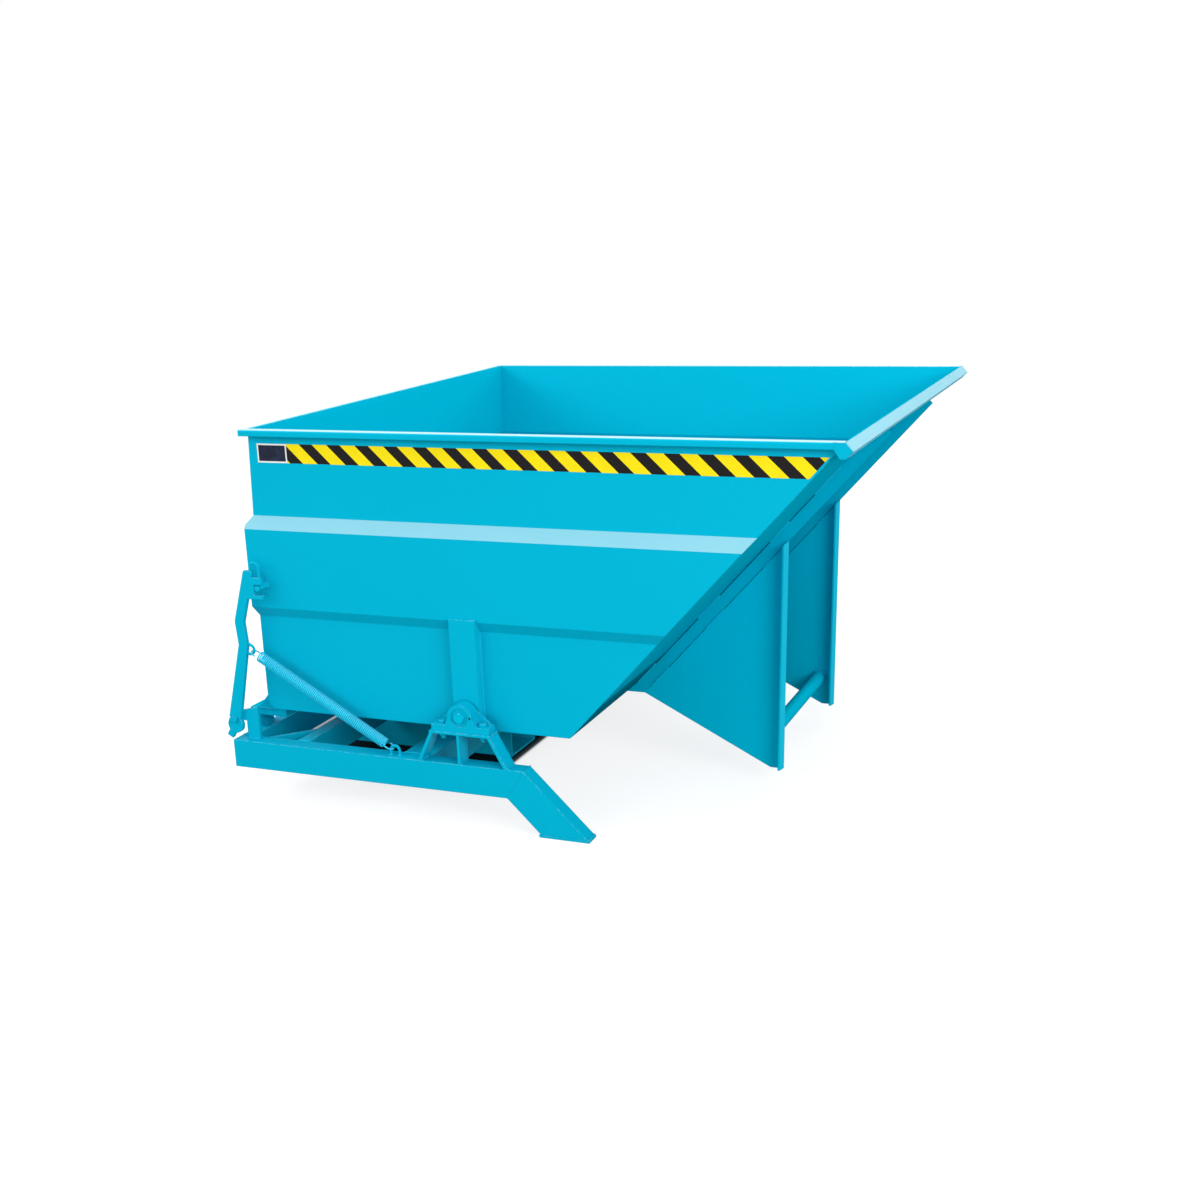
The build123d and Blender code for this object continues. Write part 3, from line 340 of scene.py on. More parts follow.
@dataclass(frozen=True)
class Paint:
    """Satin coating on sheet steel, with painted highlights: pale specks along its edges and a pale sheen.

    Attributes:
        name: The material's name.
        colour: The coating's colour.
        pale: Colour of the painted highlights, the sheen and the edge specks.
        inner: Colour of the faces inside the tub, a copy toned against the bounce light there: painted
            light.
        centre: A point inside the tub, or None for a coating without an inner tint.
        painted_sheen: Cover of the painted sheen, a pale highlight on faces that look along an axis.
        sheen_axis: Direction that the highlighted faces look along.
        sheen_from: Share of the normal along that axis where the sheen begins.
        sheen_full: Share where the sheen is full.
        soil_and_shade: Share of brightness that the painted shade below a height takes away.
        shade_top: Height of the painted shade's edge.
        shade_fade: Half the height over which the painted shade fades.
        edge: Cover of the painted highlight specks along edges.
        edge_radius: Radius of the rounded edges.
        grain: Spread of the brightness.
        roughness: Middle roughness.
        specular: Strength of the reflection.
        peel: Height of the fine relief.
        wave: Height of the broad waves.
        texture: The fine structure.
    """

    name: str
    colour: Colour = (0.0, 0.430, 0.622, 1.0)
    pale: Colour = (0.27, 0.60, 0.71, 1.0)
    inner: Colour = (0.0, 0.490, 0.656, 1.0)
    centre: Triple | None = None
    painted_sheen: float = 0.0
    sheen_axis: Triple = (0.0, 0.0, 1.0)
    sheen_from: float = 0.30
    sheen_full: float = 0.44
    soil_and_shade: float = 0.0
    shade_top: float = 0.0
    shade_fade: float = 0.025
    edge: float = 0.75
    edge_radius: float = 0.003
    grain: float = 0.03
    roughness: float = 0.46
    specular: float = 0.03
    peel: float = 0.00003
    wave: float = 0.0004
    texture: CoatTexture = CoatTexture()

    def painted_edge_highlight(self, graph: Graph, rounded: Signal) -> Signal:
        """Painted highlight: a broken pale line along edges that look up or ahead.

        The mask is 1 where the rounded normal leaves the flat one, times a fine noise cut into specks,
        times two steps that drop the edges whose rounded normal looks down or back.

        Args:
            graph: The coating's graph.
            rounded: Normal with the edges rounded off.

        Returns:
            Mask from 0 to 1.
        """
        look = self.texture
        flat = graph.signal("ShaderNodeNewGeometry", output="Normal")
        bend = (1.0 - graph.dot(rounded, flat)).ramp(*look.bend_range)
        spaces = {"vector_type": "NORMAL", "convert_from": "WORLD", "convert_to": "OBJECT"}
        along_x, _, along_z = graph.axes(graph.signal("ShaderNodeVectorTransform", spaces, {0: rounded}))
        facing = along_z.ramp(*look.upward_range) * along_x.ramp(*look.ahead_range)
        return bend * graph.noise(look.speck_scale).ramp(*look.speck_range) * facing

    def inside(self, graph: Graph) -> Signal:
        """1 on faces that look towards the centre of the tub, else 0."""
        ends = {0: graph.place(), 1: self.centre}
        away = graph.signal("ShaderNodeVectorMath", {"operation": "SUBTRACT"}, ends)
        return graph.dot(away, graph.normal()).ramp(*self.texture.inward_range)

    def painted_sheen_cover(self, graph: Graph) -> Signal:
        """Painted highlight mask: 1 where the normal looks along the sheen's axis, thinned by streaks, else
        0.
        """
        look = self.texture
        facing = graph.dot(graph.normal(), self.sheen_axis).ramp(self.sheen_from, self.sheen_full)
        streak = graph.noise(look.streak_scale, 3.0, look.streak_stretch).ramp(*look.streak_range)
        return facing * (1.0 - look.streak_share + look.streak_share * streak)

    def mottle(self, graph: Graph, colour: Colour, share: Signal) -> Signal:
        """A colour that runs from a little darker at a share of 0 to a little lighter at 1."""
        return graph.blend(share, shade(colour, 1.0 - self.grain), shade(colour, 1.0 + self.grain))

    def material(self) -> bpy.types.Material:
        """Build the coating.

        Base colour: two soft noises tint the coating, a painted shade darkens it below a height, faces
        inside the tub take the inner copy toned against the bounce light there, a painted sheen lies where
        the surface's own normal looks along the sheen's axis, and painted highlight specks follow the
        edges.

        Returns:
            The material.
        """
        material, graph = new_graph(self.name)
        look = self.texture
        radius = {"Radius": self.edge_radius}
        rounded = graph.signal("ShaderNodeBevel", {"samples": look.bevel_samples}, radius)
        patch = graph.noise(look.patch_scale, 3.0)
        grain = graph.noise(look.grain_scale)
        share = 0.5 + look.patch_share * (patch - 0.5) + look.grain_share * (grain - 0.5)
        tint = self.mottle(graph, self.colour, share)
        # Painted shade: the coating goes darker below a height.
        if self.soil_and_shade > 0:
            _, _, height = graph.axes(graph.place())
            low = height.ramp(self.shade_top + self.shade_fade, self.shade_top - self.shade_fade)
            tint = graph.blend(low, tint, self.mottle(graph, shade(self.colour, 1.0 - self.soil_and_shade), share))
        inside: Operand = 0.0
        # Painted light: faces inside the tub take the inner copy, toned against the bounce light there.
        if self.centre is not None:
            inside = self.inside(graph)
            tint = graph.blend(inside, tint, self.mottle(graph, self.inner, share))
        # Painted highlight: a pale sheen on faces that look along the sheen's axis.
        if self.painted_sheen > 0:
            cover = self.painted_sheen_cover(graph) * (1.0 - inside) * self.painted_sheen
            tint = graph.blend(cover, tint, self.pale)
        # Painted highlight: pale specks on rounded edges that look up or ahead.
        tint = graph.blend(self.painted_edge_highlight(graph, rounded) * self.edge, tint, self.pale)
        rough = self.roughness + look.patch_gloss * (patch - 0.5) + look.grain_gloss * (grain - 0.5)
        relief = graph.noise(look.peel_scale, 1.0) * self.peel + patch * self.wave
        bump = {"Distance": 1.0, "Height": relief, "Normal": rounded}
        graph.coat(tint, rough, self.specular, graph.signal("ShaderNodeBump", inputs=bump))
        return material


@dataclass(frozen=True)
class HazardFilm:
    """Gloss tape with slanted black stripes, measured along X from a start at a height of 0."""

    name: str
    yellow: Colour = (0.95, 0.765, 0.008, 1.0)
    black: Colour = (0.008, 0.007, 0.007, 1.0)
    period: float = 0.0915
    black_width: float = 0.0436
    first: float = 0.01735
    lean: float = 1.05
    softness: float = 0.0006
    soil_scale: float = 24.0
    soil_range: Pair = (0.35, 0.75)
    soil_shade: float = 0.93
    grain_scale: float = 300.0
    grain_range: Pair = (0.3, 0.7)
    grain_shade: float = 1.7
    roughness: float = 0.42
    soil_gloss: float = 0.14
    specular: float = 0.08

    def material(self) -> bpy.types.Material:
        """Build the tape: black where the slanted distance, modulo the period, is under the stripe's width.

        Returns:
            The material.
        """
        material, graph = new_graph(self.name)
        x, _, z = graph.axes(graph.place())
        half = self.black_width / 2
        slant = (x + self.lean * z - self.first) % self.period
        black = 1.0 - (slant - half).size().ramp(half - self.softness, half + self.softness)
        soil_and_shade = graph.noise(self.soil_scale, 4.0)
        clean = soil_and_shade.ramp(*self.soil_range)
        yellow = graph.blend(clean, shade(self.yellow, self.soil_shade), self.yellow)
        grain = graph.noise(self.grain_scale).ramp(*self.grain_range)
        dark = graph.blend(grain, self.black, shade(self.black, self.grain_shade))
        rough = self.roughness + self.soil_gloss * soil_and_shade
        graph.coat(graph.blend(black, yellow, dark), rough, self.specular)
        return material


@dataclass(frozen=True)
class BarePlate:
    """Dark plate with a pale border and nothing on it, between two corners in X and Z."""

    name: str
    low: Pair
    high: Pair
    dark: Colour = (0.010, 0.014, 0.030, 1.0)
    pale: Colour = (0.82, 0.80, 0.76, 1.0)
    border: float = 0.0045
    softness: float = 0.0005
    soil_scale: float = 45.0
    soil_range: Pair = (0.3, 0.8)
    soil_shade: float = 2.2
    roughness: float = 0.40
    soil_gloss: float = 0.2
    specular: float = 0.1

    def material(self) -> bpy.types.Material:
        """Build the plate: pale where the distance to the outline is under the border's width.

        Returns:
            The material.
        """
        material, graph = new_graph(self.name)
        x, _, z = graph.axes(graph.place())
        inside_x = (x - self.low[0]).smallest(self.high[0] - x)
        inside_z = (z - self.low[1]).smallest(self.high[1] - z)
        depth = inside_x.smallest(inside_z)
        border = 1.0 - depth.ramp(self.border - self.softness, self.border + self.softness)
        soil_and_shade = graph.noise(self.soil_scale, 4.0)
        dust = soil_and_shade.ramp(*self.soil_range)
        dark = graph.blend(dust, self.dark, shade(self.dark, self.soil_shade))
        rough = self.roughness + self.soil_gloss * soil_and_shade
        graph.coat(graph.blend(border, dark, self.pale), rough, self.specular)
        return material


@dataclass(frozen=True)
class SeamGap:
    """Dark open seam between two plates: the bare joint, painted darker with the shade in its gap."""

    name: str
    colour: Colour = (0.0, 0.055, 0.085, 1.0)
    soil_scale: float = 60.0
    soil_shade: float = 2.0
    roughness: float = 0.85
    specular: float = 0.05

    def material(self) -> bpy.types.Material:
        """Build the seam's dark colour with soft variation: the bare joint with the gap's shade painted in.

        Returns:
            The material.
        """
        material, graph = new_graph(self.name)
        dust = graph.noise(self.soil_scale, 3.0)
        tint = graph.blend(dust, self.colour, shade(self.colour, self.soil_shade))
        graph.coat(tint, self.roughness, self.specular)
        return material


def corner(node: str) -> tuple[np.ndarray, np.ndarray]:
    """Lowest and highest corner of a node of the frame."""
    low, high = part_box(node)
    return np.array(low), np.array(high)


def unit(vector: np.ndarray) -> np.ndarray:
    """Vectors along the last axis scaled to length one."""
    return vector / np.linalg.norm(vector, axis=-1, keepdims=True)


def tube_grid(path: np.ndarray, spoke: np.ndarray, radius: np.ndarray, sides: int) -> np.ndarray:
    """Rings around a path: point + radius * (spoke * cos + across * sin).

    Args:
        path: Points of the middle line, n by 3.
        spoke: A direction off the line at each point, n by 3.
        radius: Radius of each ring, or of each point of each ring.
        sides: Points on a ring.

    Returns:
        Points, n by sides by 3.
    """
    along = unit(np.gradient(path, axis=0))
    spoke = unit(spoke - along * np.sum(spoke * along, axis=1, keepdims=True))
    across = np.cross(along, spoke)
    turn = np.linspace(0.0, FULL_TURN, sides, endpoint=False)[None, :, None]
    ring = spoke[:, None, :] * np.cos(turn) + across[:, None, :] * np.sin(turn)
    return path[:, None, :] + ring * np.broadcast_to(radius, (len(path), sides))[:, :, None]


def tube_faces(rings: int, sides: int, first: int = 0) -> Faces:
    """Quads of a tube and one polygon over each end.

    Args:
        rings: Number of rings.
        sides: Points on a ring.
        first: Index of the tube's first point.

    Returns:
        Faces as lists of point indices, facing outwards.
    """
    ring, side = np.meshgrid(np.arange(rings - 1), np.arange(sides), indexing="ij")
    after = (side + 1) % sides
    here, beyond = ring * sides, (ring + 1) * sides
    quads = np.stack([here + side, here + after, beyond + after, beyond + side], axis=-1)
    start = np.arange(sides)[::-1]
    end = np.arange(sides) + (rings - 1) * sides
    return (quads.reshape(-1, 4) + first).tolist() + [(start + first).tolist(), (end + first).tolist()]


def make_piece(
    name: str, points: np.ndarray, faces: Faces, material: bpy.types.Material
) -> bpy.types.Object:
    """Put a mesh at the origin and dress it.

    Args:
        name: The piece's name.
        points: Points, n by 3.
        faces: Faces as lists of point indices.
        material: Its finish.

    Returns:
        The new object.
    """
    mesh = bpy.data.meshes.new(name)
    mesh.from_pydata(points.reshape(-1, 3).tolist(), [], faces)
    mesh.polygons.foreach_set("use_smooth", np.ones(len(mesh.polygons), dtype=bool))
    mesh.update()
    mesh.materials.append(material)
    piece = bpy.data.objects.new(name, mesh)
    bpy.context.scene.collection.objects.link(piece)
    LOG.info("%s: %d points", name, len(mesh.vertices))
    return piece


@dataclass(frozen=True)
class WeldStyle:
    """Look of every weld bead.

    Its radius swells by ripple once per pitch, swept back by sweep radians over the crown, and wanders
    with random draws. Radius, lift, blunt and ring_gap are shares of its leg. No rod lies along askew.
    """

    sides: int = 10
    pitch: float = 0.0052
    rings_per_pitch: int = 4
    fewest_rings: int = 9
    ripple: float = 0.10
    sweep: float = 0.9
    phase_span: float = 6.28
    wander: float = 0.12
    wander_step: float = 0.03
    fewest_draws: int = 4
    radius: float = 0.62
    lift: float = 0.18
    blunt: float = 0.96
    ring_points: int = 49
    ring_gap: float = 0.2
    askew: Triple = (0.3, 0.5, 0.8)


WELD = WeldStyle()


@dataclass(frozen=True)
class Bead:
    """One weld bead in the corner between two faces.

    Attributes:
        path: Points along the corner, n by 3.
        out: Direction out of the corner.
        leg: Size of the bead.
    """

    path: np.ndarray
    out: np.ndarray
    leg: float = FILLET

    @staticmethod
    def line(start: tuple, end: tuple, out: tuple, leg: float = FILLET) -> Bead:
        """Bead on a straight line.

        Args:
            start: First point of the corner.
            end: Last point of the corner.
            out: Direction out of the corner.
            leg: Size of the bead.

        Returns:
            The bead.
        """
        return Bead(np.array([start, end], float), np.array(out, float), leg)

    @staticmethod
    def ring(middle: tuple, radius: float, axis: tuple, leg: float = FILLET) -> Bead:
        """Bead around a rod, where it stands on a plate.

        Args:
            middle: Point of the rod's axis on the plate.
            radius: The rod's radius.
            axis: Direction of the rod out of the plate.
            leg: Size of the bead.

        Returns:
            The bead.
        """
        first = unit(np.cross(axis, WELD.askew))
        second = np.cross(unit(np.array(axis, float)), first)
        turn = np.linspace(0.0, FULL_TURN, WELD.ring_points)[:, None]
        circle = first * np.cos(turn) + second * np.sin(turn)
        return Bead(np.array(middle) + circle * (radius + leg * WELD.ring_gap), np.array(axis, float), leg)

    def mesh(self, seed: int) -> tuple[np.ndarray, int]:
        """Rippled tube: the radius swells once per pitch, with the ripple swept back over the crown.

        Args:
            seed: Seed of the bead's own wander.

        Returns:
            Points and the number of rings.
        """
        rng = np.random.default_rng(seed)
        steps = np.linalg.norm(np.diff(self.path, axis=0), axis=1)
        reach = np.concatenate([[0.0], np.cumsum(steps)])
        length = reach[-1]
        rings = max(WELD.fewest_rings, int(length / WELD.pitch * WELD.rings_per_pitch))
        s = np.linspace(0.0, length, rings)
        path = np.stack([np.interp(s, reach, self.path[:, k]) for k in range(3)], axis=1)
        out = np.broadcast_to(unit(self.out), path.shape)
        turn = np.linspace(0.0, FULL_TURN, WELD.sides, endpoint=False)
        phase = rng.uniform(0.0, WELD.phase_span)
        ripple = np.cos(FULL_TURN * s[:, None] / WELD.pitch + WELD.sweep * np.cos(turn)[None, :] + phase)
        knots = np.linspace(0.0, length, max(WELD.fewest_draws, int(length / WELD.wander_step)))
        wander = np.interp(s, knots, rng.uniform(-WELD.wander, WELD.wander, len(knots)))
        end = (1.0 - np.minimum(s, length - s) / self.leg).clip(0.0, WELD.blunt)
        core = WELD.radius * np.sqrt(1.0 - end**2) * (1.0 + wander)
        radius = self.leg * core[:, None] * (1.0 + WELD.ripple * ripple)
        return tube_grid(path + out * self.leg * WELD.lift, out, radius, WELD.sides), rings


def weld_piece(name: str, beads: list[Bead], material: bpy.types.Material, body: Body) -> bpy.types.Object:
    """Join beads into one piece that rides on a body.

    Args:
        name: The piece's name.
        beads: The weld beads.
        material: Their finish.
        body: The body that they ride on.

    Returns:
        The piece.
    """
    points, faces, first = [], [], 0
    for seed, bead in enumerate(beads):
        grid, rings = bead.mesh(seed)
        points.append(grid.reshape(-1, 3))
        faces += tube_faces(rings, WELD.sides, first)
        first += rings * WELD.sides
    piece = make_piece(name, np.concatenate(points), faces, material)
    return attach(piece, body.value)


def both_sides(beads: list[Bead]) -> list[Bead]:
    """The beads and their mirror images across the XZ plane."""
    flip = np.array([1.0, -1.0, 1.0])
    return beads + [Bead(bead.path * flip, bead.out * flip, bead.leg) for bead in beads]


@dataclass
class Tub:
    """The tipping tub: panels, rim, chute ribs and support plates.

    Stitches and seams are given by where they start and end along the chute, from its foot.
    """

    nodes: dict[str, bpy.types.Object]
    stitch_starts: tuple[float, ...] = (0.006, 0.302, 0.633, 0.829)
    stitch_ends: tuple[float, ...] = (0.097, 0.405, 0.719, 0.940)
    plate_stitch_starts: tuple[float, ...] = (0.030, 0.297, 0.563)
    plate_stitch_ends: tuple[float, ...] = (0.118, 0.382, 0.596)
    plate_seam_end: float = 0.648
    seam_depth: float = 0.0008
    seam_leg: float = 0.0026
    plate_seam_leg: float = 0.0013
    rib_depth: float = 0.038
    rib_heel: float = 0.060
    panel_sheet: float = 0.003
    swage_low: float = 0.556
    weld_gap: float = 0.004
    rear_bend: float = 0.030
    lug_sheet: float = 0.008
    lug_rise: float = 0.080
    lug_run: float = 0.067
    # These nodes take the painted sheen, a pale highlight on faces that look up.
    highlighted: tuple[str, ...] = ("side_panel", "front_lip", "pivot_rib")
    # The rim nodes take a painted highlight along their tops.
    folded: tuple[str, ...] = ("side_rim", "rear_rim", "lip_caps")

    def chute_line(self) -> tuple[np.ndarray, np.ndarray, np.ndarray]:
        """Foot of the chute's underside, and unit vectors along it and below it, in XZ."""
        foot = np.array([corner("chute_rib_near")[0][0] + self.rib_heel, corner("floor_plate")[0][2]])
        top = corner("chute_plate")[1][[0, 2]]
        along = unit(top - foot)
        return foot, along, np.array([along[1], -along[0]])

    def chute_bead(
        self, span: Pair, below: float, y: float, out: np.ndarray, leg: float
    ) -> Bead:
        """Bead along the chute.

        Args:
            span: Distances along the chute where the bead begins and ends.
            below: Depth of the bead's corner under the chute.
            y: Place of the corner across the chute.
            out: Direction out of the corner.
            leg: Size of the bead.

        Returns:
            The bead.
        """
        foot, along, under = self.chute_line()
        ends = [foot + along * reach + under * below for reach in span]
        start, end = ((x, y, z) for x, z in ends)
        return Bead.line(start, end, out, leg)

    def stitches(self) -> tuple[list[Bead], list[Bead]]:
        """Stitch welds and open seams of the chute ribs and support plates.

        Returns:
            Weld beads, and thin dark beads for the seams between them, with the shade in their gaps painted
            in.
        """
        _, _, under = self.chute_line()
        low, high = corner("chute_rib_near")
        plate_seam_ends = self.plate_stitch_starts[1:] + (self.plate_seam_end,)
        welds, seams = [], []
        for y, side in ((low[1], -1.0), (high[1], 1.0)):
            out = np.array([under[0], side, under[1]])
            face = np.array([0.0, side, 0.0])
            for span in zip(self.stitch_starts, self.stitch_ends):
                welds.append(self.chute_bead(span, 0.0, y, out, FILLET))
            for span in zip(self.stitch_ends, self.stitch_starts[1:]):
                seams.append(self.chute_bead(span, self.seam_depth, y, out, self.seam_leg))
            for span in zip(self.plate_stitch_starts, self.plate_stitch_ends):
                welds.append(self.chute_bead(span, self.rib_depth, y, face, THIN_FILLET))
            for span in zip(self.plate_stitch_ends, plate_seam_ends):
                seams.append(self.chute_bead(span, self.rib_depth, y, face, self.plate_seam_leg))
        return both_sides(welds), both_sides(seams)

    def lug_welds(self) -> list[Bead]:
        """Fillet welds of the near rest lug's bar and cheeks on the rear wall."""
        low, high = corner("rest_lugs")
        wall = high[0] - self.rear_bend
        inner = corner("rest_post_near")[1][1]
        outer = low[1]
        top = high[2] - self.lug_rise
        beads = [Bead.line((wall, outer, top), (wall, inner, top), (-1, 0, 1))]
        for y, side in ((outer, -1), (outer + self.lug_sheet, 1), (inner - self.lug_sheet, -1), (inner, 1)):
            back = wall - self.lug_run
            beads.append(Bead.line((wall, y, top), (wall, y, high[2]), (-1, side, 0), SMALL_FILLET))
            beads.append(Bead.line((back, y, top), (wall, y, top), (0, side, 1), THIN_FILLET))
        return beads

    def fillets(self) -> list[Bead]:
        """Fillet welds of the pivot ribs, the cross tube, the rest lugs and the catch pin."""
        low, high = corner("pivot_rib_near")
        panel = corner("side_panel_near")[1][1] - self.panel_sheet
        foot = low[2] + self.weld_gap
        beads = []
        for x, side in ((low[0], -1), (high[0], 1)):
            beads.append(Bead.line((x, panel, foot), (x, panel, self.swage_low), (side, -1, 0)))
        tube_low, tube_high = corner("cross_tube")
        middle = (tube_low + tube_high) / 2
        radius = (tube_high[2] - tube_low[2]) / 2
        beads.append(Bead.ring((middle[0], tube_low[1], middle[2]), radius, (0, 1, 0), WIDE_FILLET))
        beads = both_sides(beads + self.lug_welds())
        pin_low, pin_high = corner("catch_pin")
        pin = (pin_low + pin_high) / 2
        radius = (pin_high[2] - pin_low[2]) / 2
        beads.append(Bead.ring((pin[0], pin_high[1], pin[2]), radius, (0, -1, 0), SMALL_FILLET))
        return beads

    def finish_of(self, name: str, finishes: Finishes) -> bpy.types.Material:
        """Choose a node's finish by the start of its name.

        Args:
            name: The node's name.
            finishes: The hopper's finishes.

        Returns:
            The finish.
        """
        choices = (
            (self.highlighted, finishes.highlighted),
            (self.folded, finishes.rim),
            ("chute_rib", finishes.rib),
            ("support_plate", finishes.plate),
            ("chute_plate", finishes.underside),
            ("hazard_tape", finishes.hazard),
            ("label_plate", finishes.label),
        )
        for start, finish in choices:
            if name.startswith(start):
                return finish
        return finishes.tub

    def dress(self, finishes: Finishes) -> None:
        """Give every node of the tub its finish and add the welds.

        Args:
            finishes: The hopper's finishes.
        """
        for name, node in self.nodes.items():
            finishes.put(node, self.finish_of(name, finishes))
        welds, seams = self.stitches()
        weld_piece("rib_stitch_welds", welds, finishes.welds, Body.TUB)
        # The open seams are dark beads with the shade in their gaps painted in.
        weld_piece("rib_open_seams", seams, finishes.seam, Body.TUB)
        weld_piece("tub_fillet_welds", self.fillets(), finishes.welds, Body.TUB)


@dataclass
class BaseFrame:
    """The base: beams, legs, pedestals, bearings and the lever's ear."""

    nodes: dict[str, bpy.types.Object]
    pedestal_leg: float = 0.011
    pedestal_post: float = 0.008
    post_back: float = 0.006
    foot_margin: float = 0.006
    ear_foot: float = 0.042
    mitre_leg: float = 0.003
    butt_leg: float = 0.0035

    def pedestal_welds(self) -> list[Bead]:
        """Fillet welds along both faces of the near pedestal's three feet."""
        low, high = corner("pedestal_near")
        shaft_low, shaft_high = corner("bearing_insert_near")
        post = (shaft_low[0] + shaft_high[0]) / 2 - self.post_back
        leg, half = self.pedestal_leg, self.pedestal_post / 2
        feet = ((low[0], low[0] + leg), (post - half, post + half), (high[0] - leg, high[0]))
        beads = []
        for foot in feet:
            for x, side in zip(foot, (-1, 1)):
                beads.append(Bead.line((x, low[1], low[2]), (x, high[1], low[2]), (side, 0, 1)))
        return beads

    def foot_welds(self) -> list[Bead]:
        """Fillet welds of the near leg on its foot plate and across the top of the mitre."""
        low, high = corner("foot_plate_near")
        beam_low, beam_high = corner("side_beam_near")
        mitre = (beam_high[0], beam_low[1], beam_high[2])
        beads = [Bead.line(mitre, beam_high, (0, 0, 1), self.mitre_leg)]
        back, front = low[0] + self.foot_margin, high[0] - self.foot_margin
        for x, out in ((back, (-1, 0, 1)), (front, (1, 0, 0.6))):
            beads.append(Bead.line((x, low[1], high[2]), (x, high[1], high[2]), out, SMALL_FILLET))
        return beads

    def cross_welds(self) -> list[Bead]:
        """Fillet welds of the cross beams, the near fork pocket and the near rest post."""
        beads = []
        for name in ("rear_cross_beam", "middle_cross_beam", "front_cross_beam"):
            low, high = corner(name)
            y, top = low[1], high[2]
            beads.append(Bead.line((low[0], y, top), (high[0], y, top), (0, 0, 1), self.butt_leg))
            beads.append(Bead.line((high[0], y, low[2]), (high[0], y, top), (1, 1, 0)))
        pocket_low, pocket_high = corner("fork_pocket_near")
        low, high = corner("front_cross_beam")
        top = pocket_high[2]
        for y, side in ((pocket_low[1], -1), (pocket_high[1], 1)):
            beads.append(Bead.line((low[0], y, top), (high[0], y, top), (0, side, -1)))
        low, high = corner("rest_post_near")
        foot = low[2]
        for y, side in ((low[1], -1), (high[1], 1)):
            beads.append(Bead.line((low[0], y, foot), (high[0], y, foot), (0, side, 1)))
        beads.append(Bead.line((high[0], low[1], foot), (high[0], high[1], foot), (1, 0, 1)))
        return beads

    def ear_welds(self) -> list[Bead]:
        """Fillet welds of the lever's ear and the spring anchor on the near beam."""
        low, high = corner("lever_ear")
        back, front, top = high[0] - self.ear_foot, high[0], low[2]
        beads = []
        for y, side in ((low[1], -1), (high[1], 1)):
            beads.append(Bead.line((back, y, top), (front, y, top), (0, side, 1)))
        low, high = corner("spring_anchor")
        y = (low[1] + high[1]) / 2
        rod = (high[1] - low[1]) / 2
        for x in (low[0] + rod, high[0] - rod):
            beads.append(Bead.ring((x, y, low[2]), rod, (0, 0, 1), SMALL_FILLET))
        return beads

    def dress(self, finishes: Finishes) -> None:
        """Give every node of the base its finish and add the welds.

        Args:
            finishes: The hopper's finishes.
        """
        for name, node in self.nodes.items():
            cast = name.startswith("bearing_housing")
            finishes.put(node, finishes.casting if cast else finishes.frame)
        beads = both_sides(self.pedestal_welds() + self.foot_welds() + self.cross_welds())
        weld_piece("base_fillet_welds", beads, finishes.welds, Body.BASE)
        weld_piece("ear_fillet_welds", self.ear_welds(), finishes.welds, Body.BASE)


